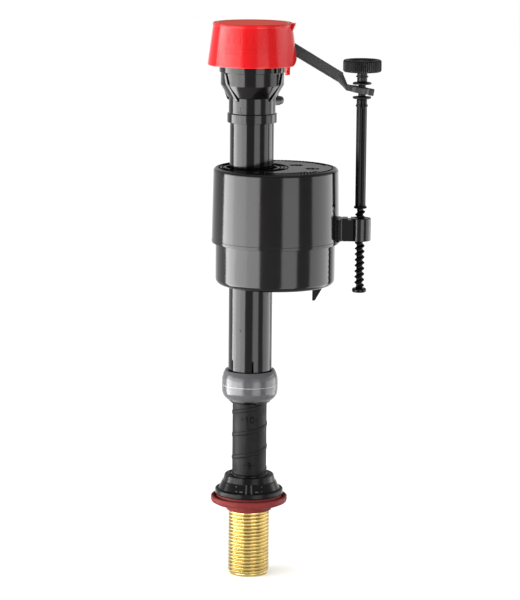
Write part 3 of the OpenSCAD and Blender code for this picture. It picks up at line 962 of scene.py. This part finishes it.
# ---- riser group ----


def make_lock_ring():
    """Barrel ring with a funnelled mouth and a fine parting line."""
    b = Place("lock_ring")
    half = (b.z1 - b.z0) / 2
    outline = [(RING_BORE, b.z0 + 0.3), (RING_BORE + 0.3, b.z0)]
    for k in range(LONG_ARC_STEPS + 1):
        share = -1 + 2 * k / LONG_ARC_STEPS
        end, power = (RING_END_R, 4) if share < 0 else (RING_MOUTH_R, 3)
        outline.append((b.r - (b.r - end) * abs(share) ** power, b.cz + half * share))
    outline += [(RING_MOUTH_R - 0.3, b.z1 + 0.02), (RING_BORE, b.z1 - 1.3)]
    keep(lathe("barrel_lock_ring", outline, FINE), "lock_ring", "grey_plastic", "lock_ring")
    ridge = rounded(offset(b.r, b.cz, (-0.2, -0.2), (0.08, 0), (-0.2, 0.2)), 0.05)
    seam = lathe("lock_ring_parting_line", ridge, FINE)
    # the parting line is drawn pale grey as a painted highlight
    keep(seam, "lock_ring", "grey_plastic", finish="painted_highlight_grey")


def slit_tool(angle, low):
    """Round-topped cutter for one collet slit."""
    half = SLIT_WIDTH / 2
    outline = [(-half, low), (half, low)] + arc(0, SLIT_TOP - half, half, 0, 180, 6)
    return slab("slit", outline, SLIT_DEPTH, spun(angle) @ sideways(RISER_R - 1))


def make_riser_tube():
    """Upper tube with six collet slits at the lower end."""
    b = Place("riser_tube")
    tube = lathe("riser_tube_body", rounded([
        (RISER_LIP, b.z0 + 0.8), (RISER_BORE - 0.1, b.z0), (b.r - 0.8, b.z0), (b.r, b.z0 + 1),
        (b.r, b.z1), (RISER_BORE, b.z1), (RISER_BORE, b.z0 + 4), (RISER_LIP, b.z0 + 3),
    ], 0.2), FINE)
    tools = [slit_tool(SLIT_FIRST + i * 360.0 / SLIT_COUNT, b.z0 - 1) for i in range(SLIT_COUNT)]
    cut(tube, *tools)
    keep(tube, "riser", GLOSS, "riser_tube")


def make_gate_mark():
    """Low round moulding mark on the riser's front left."""
    mark = lathe("riser_gate_mark", rounded([
        (0, 0), (0.75, 0), (0.75, 0.12), (0.35, 0.2), (0, 0.12)
    ], 0.05), COARSE)
    outward(mark, GATE_MARK_ANGLE, GATE_MARK_HEIGHT, RISER_R - 0.06)
    keep(mark, "riser", GLOSS)


def make_valve_head():
    """Head: band, sleeve, flared bowl, rim, gussets, lugs and the inner hub on spokes."""
    b = Place("valve_head")
    top = b.z1
    head = lathe("flared_valve_head", rounded([
        (RISER_R, b.z0), (BAND_R, b.z0), (BAND_R, b.z0 + 4.6), (SLEEVE_R, b.z0 + 4.6),
        *offset(0, top, (SLEEVE_R, -18.6), (12.3, -18.3), (15.9, -12.1), (15.9, -5.8),
                (16.6, -5.8), (16.6, 0), (14.3, 0), (14.3, -4.2), (12, -4.2), (12, -11.2),
                (RISER_BORE, -16.7), (RISER_BORE, -18.2), (RISER_R, -18.2)),
    ], 0.25), FINE)
    parts = [gusset(angle, lean, top) for angle, lean in GUSSETS]
    parts += [
        arc_block("lug", (16.4, 17.6), (i * 120 + 40, i * 120 + 80), (top - 1, top))
        for i in range(3)
    ]
    hub = lathe("hub", rounded(rectangle((5.5, 7), (top - HUB_LOW, top - 10.2)), 0.2))
    side = rectangle((6.6, 12.3), (top - HUB_LOW, top - 10.4))
    spokes = [slab("spoke", side, SPOKE_WIDTH, spoke(45 + i * 90)) for i in range(4)]
    join(head, *parts, *spokes, hub)
    keep(head, "riser", GLOSS, "valve_head")


def gusset(angle, lean, top):
    """Tapering gusset from the rim down the flared bowl, whose foot leans round by an angle."""
    plate = bevelled(slab("gusset", offset(
        0, top, (16.55, -GUSSET_TOP), (16.75, -11.0), (12.6, -19.8), (11.6, -20.2), (11.6, -18.2),
        (13.5, -15.0), (15.5, -12.0), (15.5, -GUSSET_TOP),
    ), GUSSET_WIDTH, spoke(angle)), 0.2)
    for vertex in plate.data.vertices:
        share = (top - GUSSET_TOP - vertex.co.z / MM) / GUSSET_DROP
        vertex.co = spun(lean * max(share, 0.0)) @ vertex.co
    return plate


def make_refill_nozzle():
    """Stub for the refill hose, with a root collar, one barb and a rounded tip."""
    b = Place("refill_nozzle")
    reach = hypot(b.x1, b.y1) - 0.9
    nozzle = lathe("refill_nozzle_stub", rounded([
        (NOZZLE_BORE, 11.3), (2.9, 11.3), (2.9, 13), (2.35, 13.2),
        *offset(0, reach, (2.35, -2.6), (2.5, -2.5), (2.1, 0), (NOZZLE_BORE, 0)),
    ], 0.15), SMALL)
    outward(nozzle, NOZZLE_ANGLE, b.cz)
    keep(nozzle, "riser", GLOSS, "refill_nozzle")


def make_level_tick():
    """Letter-free water level tick on the head's sleeve."""
    bm = bmesh.new()
    z = Place("valve_head").z0 + 5.6
    r = SLEEVE_R - 0.08
    angle = FRONT - 30
    draw(bm, [(0, 0), (1, 0)], 2.6, 1.0, -1.3, r, z, angle)
    draw(bm, [(0.5, 0), (0.5, 1)], 2.6, 2.2, -1.3, r, z, angle)
    draw(bm, [(0, 0), (1, 0)], 1.2, 1.0, -0.6, r, z + 2.6, angle)
    keep(made("level_tick", bm), "riser", GLOSS)


# ---- cap group ----


def cover_radius(z, b):
    """Outside radius of the cover at a height."""
    share = (z - COVER_FOOT) / (b.z1 - COVER_FOOT)
    return COVER_LOW_R + (COVER_HIGH_R - COVER_LOW_R) * share


def make_cap_cover():
    """Red cover with a lip round its top, a slot for the lever and a hanging tab."""
    b = Place("cap_cover")
    top = b.z1
    cover = lathe("red_cap_cover", rounded([
        *offset(COVER_LOW_R, COVER_FOOT, (-COVER_WALL, 0), (-0.1, 0), (0, 0.6)),
        (cover_radius(top - 1.6, b), top - 1.6),
        *offset(COVER_HIGH_R, top, (0.35, -1.3), (0.35, -0.25), (0, 0), (-1.6, 0), (-2.0, -0.25)),
        (0, top - 0.25), (0, top - COVER_WALL), (COVER_HIGH_R - COVER_WALL, top - COVER_WALL),
    ], 0.3), FINEST)
    pin = Place("lever_pin")
    half = ARM_WIDTH / 2 + 0.6
    slot = slab("slot", rounded([
        (pin.cy - half, pin.cz + 3.1), (pin.cy - half, COVER_SHOULDER), (-12.4, COVER_FOOT - 1),
        (14.5, COVER_FOOT - 1), (pin.cy + half, COVER_SHOULDER), (pin.cy + half, pin.cz + 3.1),
    ], 0.6), 20, sideways(20))
    cut(cover, slot)
    join(cover, *cover_fittings(b))
    keep(cover, "cap", "red_plastic", "cap_cover")


def cover_fittings(b):
    """Inner ribs, hanging tab and the small lug at the top edge."""
    top = b.z1
    parts = []
    for angle in COVER_RIBS:
        rib = slab("rib", [
            (15, COVER_SHOULDER), (cover_radius(COVER_SHOULDER, b) - 0.9, COVER_SHOULDER),
            (COVER_HIGH_R - 0.9, top - 1), (15, top - 1),
        ], COVER_RIB_WIDTH, spoke(angle))
        parts.append(rib)
    tab = slab("tab", rounded([
        *offset(COVER_LOW_R, b.z0, (-1.7, 0), (-0.5, 0)),
        *offset(COVER_LOW_R, COVER_FOOT + 1.6, (-0.3, 0), (-1.3, 0)),
    ], 0.2), TAB_WIDTH, spoke(TAB_ANGLE))
    lug = slab("lug", rounded(offset(
        COVER_HIGH_R, top, (-1, -4.6), (0.5, -3.8), (1.8, -0.9), (1.8, -0.1), (-1, -0.1),
    ), 0.25), LUG_WIDTH, spoke(LUG_ANGLE))
    return parts + [tab, lug]


def make_cover_relief():
    """Plain raised bars and dashes, in place of writing, on the front of the cover."""
    b = Place("cap_cover")
    bm = bmesh.new()
    for z, length, gap, count, tall in RELIEF_ROWS:
        r = cover_radius(z, b) - 0.02
        start = -(count * length + (count - 1) * gap) / 2
        for k in range(count):
            across = start + k * (length + gap)
            bar = [(across, 0), (across + length, tall)]
            path, normals = on_drum(finer(bar), r, z, FRONT)
            lean = [normal * (point.z - z) * COVER_LEAN for point, normal in zip(path, normals)]
            sweep(bm, [point - back for point, back in zip(path, lean)], normals, RELIEF_R)
    keep(made("cover_relief", bm), "cap", "red_plastic")


# ---- lever ----


def arm_height(x):
    """Height of the lever plate's centre line."""
    pin = Place("lever_pin")
    return pin.cz - 2.9 - (x - pin.cx - 9.0) * tan(radians(ARM_SLOPE))


def on_arm(x, up):
    """Point at a height above the lever plate's centre line."""
    return (x, arm_height(x) + up)


def make_lever():
    """Lever: plate with a sunk panel, pivot hub, inner arm, leg and slotted eye."""
    pin = Place("lever_pin")
    half = ARM_HEIGHT / 2 / cos(radians(ARM_SLOPE))
    arm = slab("rocking_lever", [
        (pin.cx - 1, pin.cz + 2.5), on_arm(pin.cx + 2, half), on_arm(ARM_END + 1.4, half - 0.4),
        on_arm(ARM_END, -half), on_arm(pin.cx + 5, -half), (pin.cx, pin.cz - 2),
    ], ARM_WIDTH, upright(pin.cy))
    bevelled(arm, 0.35)
    margin = half - 0.9
    near = pin.cx + 11.5
    far = ARM_END - 2.0
    sunk = slab("panel", rounded([
        on_arm(near, margin), on_arm(far, margin), on_arm(far - 1, -margin),
        on_arm(near - 1, -margin),
    ], 0.6), 0.6, upright(pin.cy - ARM_WIDTH / 2))
    cut(arm, sunk)
    join(arm, *lever_parts(pin, half))
    hole = slab("hole", slot_outline(EYE_SLOT_R, 0.1), 8, eye_place())
    cut(arm, on_pin(rod_between("pin", PIN_HOLE, -10, 10, segments=SMALL), pin), hole)
    keep(arm, "lever", SATIN, "lever_arm", finish="grained_black")


def lever_parts(pin, half):
    """Hub, inner arm, leg and eye of the lever."""
    hub = on_pin(lathe("hub", rounded(rectangle((0, 2.8), (-1.7, 1.7)), 0.25), SMALL), pin)
    y = (pin.cy - ARM_WIDTH / 2, pin.cy + ARM_WIDTH / 2)
    z = (pin.cz, pin.cz + 2)
    inner = prism("inner", rectangle((-6, 7.5), (-2, y[1])), z)
    link = prism("link", rectangle((7, pin.cx), y), z)
    return [hub, bevelled(inner, 0.3), link, lever_leg(half), *lever_eye()]


def lever_leg(half):
    """Leg that steps down and forward from the plate to the eye."""
    pin = Place("lever_pin")
    outline = [on_arm(ARM_END - 2, 0.4 - half), on_arm(ARM_END - 1, 1)]
    outline += offset(*on_arm(ARM_END, 0), (1.4, 1.2), (0.8, -2.2))
    bm = bmesh.new()
    y_mid = pin.cy - 0.3
    for x, z in outline:
        for side in (-1, 1):
            bm.verts.new((x, y_mid + side * (ARM_WIDTH / 2 - 0.3), z))
    foot = eye_place() @ Vector((-EYE_SLOT - EYE_R - 1.5, 0, 0))
    for x, z in arc(foot.x, foot.z, 1.1, 0, 330, 11):
        for y in (-0.7, 2.3):
            bm.verts.new((x, y, z))
    bmesh.ops.convex_hull(bm, input=bm.verts)
    loose = [v for v in bm.verts if not v.link_faces]
    bmesh.ops.delete(bm, geom=loose, context="VERTS")
    return bevelled(made("leg", bm), 0.25)


def eye_place():
    """Frame of the eye: tilted, centred on the rod."""
    rod = Place("adjusting_rod")
    tilt = Matrix.Rotation(radians(EYE_TILT), 4, "Y")
    return Matrix.Translation((rod.cx, 0, Place("rod_bobbin").cz + 0.1)) @ tilt


def slot_outline(r, ahead):
    """Round-ended outline that runs back towards the pivot."""
    return arc(ahead, 0, r, -90, 180, ARC_STEPS) + arc(-EYE_SLOT, 0, r, 90, 180, ARC_STEPS)


def lever_eye():
    """Slotted eye with its square end tab and its root."""
    eye = bevelled(slab("eye", slot_outline(EYE_R, 0), EYE_THICK, eye_place()), 0.3)
    back = -EYE_SLOT - EYE_R
    root = slab("root", rectangle((back - 1.6, back + 1.4), (-1.5, 2.1)), EYE_THICK, eye_place())
    lower = eye_place() @ Matrix.Translation((0, 0, -0.1))
    tab = slab("tab", rectangle((EYE_R - 1, EYE_R + 1.9), (-1.5, 1.5)), 3.4, lower)
    return [eye, bevelled(root, 0.25), bevelled(tab, 0.25)]


# ---- rod group ----


def make_bobbin():
    """Two-flanged bobbin held in the lever's eye."""
    b = Place("rod_bobbin")
    bore = ROD_CORE + 0.05
    bobbin = lathe("rod_bobbin_spool", rounded([
        *offset(0, b.z0, (bore, 0), (4.3, 0), (4.7, 0.4), (4.6, 1), (2.2, 1.1), (1.9, 1.5)),
        *offset(0, b.z1, (1.9, -1.5), (2.2, -1.1), (4.7, -1), (4.77, -0.4), (4.4, 0), (bore, 0)),
    ], 0.12), ROD_SIDES, (b.cx, b.cy))
    keep(bobbin, "bobbin", SATIN, "rod_bobbin")


def make_knob():
    """Thumb wheel with a fine vertical knurl, a sunk top and a stepped hub."""
    b = Place("adjusting_knob")
    rim_low = b.z0 + HUB_HEIGHT

    def knurl(angle, r, z):
        if r < b.r - 1.2 or z < rim_low + 0.3 or z > b.z1 - 0.3:
            return 0.0
        return -KNURL_DEPTH * (0.5 - 0.5 * cos(radians(angle * KNURL_COUNT))) ** KNURL_SHARPNESS

    outline = offset(0, b.z0, (ROD_CORE, 0), (2.5, 0), (HUB_R, 0.1), (HUB_R, 2.2), (3.1, 2.5),
                     (3.1, 3.0), (HUB_R, 3.2), (HUB_R, HUB_HEIGHT))
    outline += arc(b.r - 1.1, rim_low + 1.1, 1.1, -90, 90, 5)
    outline += arc(b.r - 1.1, b.z1 - 1.1, 1.1, 0, 90, 5)
    outline += offset(b.r, b.z1, (-1.6, 0), (-2.0, -0.3), (-2.3, -1.1))
    outline += offset(0, b.z1, (3.2, -1.2), (2.9, -0.7), (0, -0.7), (0, -2), (ROD_CORE, -2))
    knob = lathe("knurled_knob", outline, KNURL_COUNT * 6, (b.cx, b.cy), knurl)
    keep(knob, "rod", SATIN, "adjusting_knob")


def make_rod():
    """Rod: end stop, helical level thread and the shaft above it."""
    b = Place("adjusting_rod")
    depth = ROD_CREST - ROD_ROOT
    fade = run_between(ROD_THREAD_LOW, ROD_THREAD_HIGH + 0.5, 1.2)
    rod = helical_solid(
        "threaded_rod", ROD_ROOT, wave_shape(depth, ROD_THREAD_STEPS, ROD_THREAD_SHARPNESS),
        ROD_PITCH, b.z0 + 1.0, ROD_THREAD_HIGH + 1.2, fade, (180.0, ROD_THREAD_LOW + ROD_PITCH),
        ROD_SIDES,
    )
    rod.data.transform(Matrix.Translation((b.cx * MM, b.cy * MM, 0)))
    stop = lathe("stop", rounded(offset(
        0, b.z0, (0, 0), (3.3, 0), (3.65, 0.4), (3.65, 1.5), (3.3, 2), (0, 2),
    ), 0.15), SMALL, (b.cx, b.cy))
    join(rod, stop, rod_shaft(b))
    keep(rod, "rod", SATIN, "adjusting_rod", finish="rod_black")


def rod_shaft(b):
    """Upper part of the rod with flutes between its two rings."""
    low = ROD_THREAD_HIGH + 0.6
    neck = Place("rod_bobbin").z0 - 0.2
    flute_low = low + 2.2
    flute_high = neck - 4.5

    def flute(angle, r, z):
        if z < flute_low or z > flute_high:
            return 0.0
        share = 0.5 - 0.5 * cos(radians(angle * FLUTE_COUNT))
        return -FLUTE_DEPTH * share ** 2

    outline = offset(0, low, (0, 0), (ROD_ROOT, 0), (3.1, 0.3), (3.4, 0.7), (3.1, 1.4),
                     (ROD_R, 1.6))
    outline += offset(ROD_R, flute_low, (0, 0), (0, 0.8))
    outline += offset(ROD_R, flute_high, (0, -0.8), (0, 0))
    outline += offset(0, neck, (ROD_R, -4.0), (3.05, -3.7), (3.05, -2.9), (ROD_R, -2.6),
                      (ROD_R, -0.4), (ROD_R - 0.4, 0), (ROD_CORE, 0))
    outline += [(ROD_CORE, b.z1), (0, b.z1)]
    return lathe("shaft", outline, FLUTE_COUNT * 12, (b.cx, b.cy), flute)


# ---- float group ----


def float_axis():
    """The float's own axis, which is beside the riser's."""
    return (Place("float_base").x0 + FLOAT_BASE_R, 0.0)


def float_low():
    """Height of the float's flat bottom, above its fin's tip."""
    return Place("float_base").z0 + FIN_DROP


def make_float_shell():
    """Upper float shell with its rounded top edge, guide tube, well and recesses."""
    axis = float_axis()
    top = Place("float_shell").z1
    step = Place("rod_clamp").z0 - 1.1
    outline = [(FLOAT_BASE_R, step)]
    outline += offset(FLOAT_LOW_R, step, (-0.4, 0), (-0.1, 0.15), (0, 0.5), (-0.04, 1.6),
                      (-0.16, 1.75), (-0.1, 1.9))
    outline += arc(FLOAT_TOP_R - 1.6, top - 1.6, 1.6, 0, 90, 7)
    outline += [(0, top), (0, top - 2), (FLOAT_TOP_R - 2.6, top - 2)]
    outline += [(FLOAT_TOP_R - FLOAT_WALL, top - 2.8), (FLOAT_BASE_R, FLOAT_TAPER_TOP)]
    shell = lathe("float_cup", outline, FINEST, axis)
    guide = rod_between("guide", GUIDE_R, float_low(), top - 1)
    join(shell, guide)
    bore = rod_between("bore", GUIDE_BORE, 90, top + 5)
    well = rod_between("well", WELL_R, top - WELL_DEPTH, top + 5)
    cut(shell, bore, well, *float_recesses(top))
    join(shell, *float_bracket(axis))
    keep(shell, "float", GLOSS, "float_shell")


def float_recesses(top):
    """Cutters for the round recesses in the float's top."""
    tools = []
    for x, y, r in RECESSES:
        side = offset(r, top, (-0.3, -1.4), (-0.1, 0.1), (0, 2))
        tools.append(lathe("recess", [(0, top - 1.4), *side, (0, top + 2)], SMALL, (x, y)))
    return tools


def float_bracket(axis):
    """Pad and stub on the float's side that hold the rod clamp."""
    clamp = Place("rod_clamp")
    z = (clamp.z0, clamp.z1)
    pad = arc_block("pad", (FLOAT_LOW_R - 1.2, FLOAT_LOW_R + 1.0), (-15, 11), z, axis)
    x = (axis[0] + FLOAT_BASE_R + 0.8, clamp.x0)
    stub = prism("stub", rectangle(x, (-CLAMP_HALF, CLAMP_HALF)), z)
    return [bevelled(pad, 0.4), bevelled(stub, 0.3)]


def make_float_relief():
    """Raised rings and short dashes on the float's top."""
    top = Place("float_shell").z1 - 0.02
    bm = bmesh.new()
    for centre, r, first, last, dash, gap in FLOAT_RINGS:
        middle = centre or float_axis()
        count = max(2, round(dash / 3))
        angle = first
        while angle < last:
            path = [around(angle + dash * k / count, r, top, middle) for k in range(count + 1)]
            sweep(bm, path, [Vector((0, 0, 1))] * len(path), FLOAT_RING_R)
            angle += dash + gap
    # the raised rings and dashes are drawn near-black as painted shade
    keep(made("float_top_relief", bm), "float", GLOSS, finish="painted_shade_black")


def make_float_base():
    """Lower float cup with its rounded bottom edge and triangular fin."""
    b = Place("float_base")
    low = float_low()
    outline = [(0, low)] + arc(FLOAT_BASE_R - 3, low + 3, 3, -90, 90, 7)
    outline += [(FLOAT_BASE_R, b.z1), (FLOAT_BASE_R - FLOAT_WALL, b.z1)]
    outline += [(FLOAT_BASE_R - FLOAT_WALL, low + 3), (FLOAT_BASE_R - 3, low + 2), (0, low + 2)]
    cup = lathe("float_lower_cup", outline, FINEST, float_axis())
    cut(cup, rod_between("hole", GUIDE_R, low - 5, low + 5))
    fin = slab("fin", [
        (31.2, low + 0.8), (31.2, b.z0), (32.6, b.z0), (37.2, low - 0.2), (37.2, low + 0.8)
    ], FIN_WIDTH, upright(-2))
    join(cup, bevelled(fin, 0.25))
    keep(cup, "float", GLOSS, "float_base")


def make_rod_clamp():
    """Clamp block with a rounded end, a threaded-rod bore and a notch across its top."""
    b = Place("rod_clamp")
    rod = Place("adjusting_rod").cx
    meet = degrees(asin(CLAMP_HALF / CLAMP_END_R))
    end = arc(rod, 0, CLAMP_END_R, meet - 180, 360 - 2 * meet, LONG_ARC_STEPS)
    outline = [(b.x0, -CLAMP_HALF), *end, (b.x0, CLAMP_HALF)]
    clamp = bevelled(prism("rod_clamp_block", outline, (b.z0, b.z1)), 0.35)
    bore = rod_between("bore", CLAMP_BORE, b.z0 - 1, b.z1 + 1, (rod, 0), ROD_SIDES)
    notch = prism("notch", rectangle((rod - 6.2, rod - 4.6), (-8, 8)), (b.z1 - 0.7, b.z1 + 2))
    cut(clamp, bore, notch)
    keep(clamp, "float", GLOSS, "rod_clamp")


# ---- hidden parts carried over from the CAD ----


def dress_inner_parts(nodes):
    """Finishes, and softly rounded edges on most, for the CAD parts that are carried over."""
    for slot, names in INNER.items():
        for name in names:
            obj = nodes[name]
            paint(obj, slot)
            if name not in LEFT_PLAIN:
                soften(obj)


def soften(obj):
    """Live bevel on a CAD part, whose split edges are first joined by a live weld."""
    weld = obj.modifiers.new("joined_edges", "WELD")
    weld.merge_threshold = 0.001 * MM
    add_bevel(obj, "soft_edges", SOFT_EDGE, SOFT_FROM)


# ---- studio ----


def make_floor(low):
    """Plain pale floor under the object, not part of it."""
    bm = bmesh.new()
    bmesh.ops.create_circle(bm, cap_ends=True, segments=MEDIUM, radius=FLOOR_R)
    floor = made("floor", bm)
    floor.location.z = low
    floor.data.materials.append(pale_floor())


def panel(name, angles, inner, outer, radiance):
    """Soft panel that faces the object, from an inner (reach, height) to an outer one.

    Angle 0 is the camera's side, and heights are above the floor.
    """
    middle = radians(sum(angles) / 2)
    span = radians(abs(angles[1] - angles[0]))
    away = Vector((sin(middle), -cos(middle), 0))
    low, high = [away * reach + Vector((0, 0, floor_height + z)) for reach, z in (inner, outer)]
    light = bpy.data.lights.new(name, "AREA")
    light.shape = "RECTANGLE"
    light.size = (inner[0] + outer[0]) * tan(span / 2)
    light.size_y = (high - low).length
    light.energy = radiance * pi * light.size * light.size_y
    lamp = placed(name, light)
    lamp.location = (low + high) / 2
    up = (high - low).normalized()
    facing = away.cross(Vector((0, 0, 1))).cross(up)
    lamp.rotation_euler = facing.to_track_quat("-Z", "Y").to_euler()


def slope_at(k):
    """(reach, height) of the edge between two strips of a sloping panel."""
    share = k / SLOPE_STRIPS
    return SLOPE_NEAR + (SLOPE_FAR - SLOPE_NEAR) * share, SLOPE_RISE * share


def light_studio():
    """Sloping and upright soft panels, a soft overhead light and an even pale surround."""
    for name, angles, share in PANELS:
        for k in range(SLOPE_STRIPS):
            panel(f"{name}_low_{k + 1}", angles, slope_at(k), slope_at(k + 1), KEY * share)
        panel(name + "_high", angles, (HIGH_REACH, HIGH_LOW), (HIGH_REACH, HIGH_TOP), KEY * share)
    sun = bpy.data.lights.new("overhead", "SUN")
    sun.energy = OVERHEAD
    sun.angle = radians(OVERHEAD_SPREAD)
    placed("overhead", sun)
    world = bpy.data.worlds.new("surround")
    world.use_nodes = True
    background = world.node_tree.nodes["Background"]
    background.inputs["Color"].default_value = (1, 1, 1, 1)
    background.inputs["Strength"].default_value = SURROUND
    bpy.context.scene.world = world


def add_camera(low, high):
    """Camera at the photograph's angle, aimed at the middle of the object's height."""
    camera = placed("camera", bpy.data.cameras.new("camera"))
    camera.data.lens = LENS
    camera.data.sensor_width = 36.0
    camera.data.clip_end = 100.0
    down = radians(CAMERA_DOWN)
    aim = Vector((AIM_RIGHT, 0, (low.z + high.z) / 2 + AIM_UP))
    camera.location = aim + Vector((0, -cos(down), sin(down))) * CAMERA_DISTANCE
    tilt = Matrix.Rotation(pi / 2 - down, 4, "X")
    camera.rotation_euler = (tilt @ spun(CAMERA_ROLL)).to_euler()
    bpy.context.scene.camera = camera


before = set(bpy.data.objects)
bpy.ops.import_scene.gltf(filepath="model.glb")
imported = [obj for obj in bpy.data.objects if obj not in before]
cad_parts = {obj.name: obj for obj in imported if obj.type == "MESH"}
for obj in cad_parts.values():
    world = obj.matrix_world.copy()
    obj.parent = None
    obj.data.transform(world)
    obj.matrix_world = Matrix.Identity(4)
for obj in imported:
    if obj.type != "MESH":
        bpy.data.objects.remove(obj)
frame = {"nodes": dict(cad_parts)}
cad_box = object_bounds()
finishes = {}
floor_height = cad_box[0].z
make_brass_shank()
make_shank_tube()
make_height_scale()
make_base_flange()
make_flange_ribs()
make_tank_washer()
make_lock_ring()
make_riser_tube()
make_gate_mark()
make_valve_head()
make_refill_nozzle()
make_level_tick()
make_cap_cover()
make_cover_relief()
make_lever()
make_bobbin()
make_knob()
make_rod()
make_float_shell()
make_float_relief()
make_float_base()
make_rod_clamp()
dress_inner_parts(frame["nodes"])
make_floor(floor_height)
light_studio()
add_camera(*cad_box)
bpy.context.scene.view_settings.view_transform = "Standard"
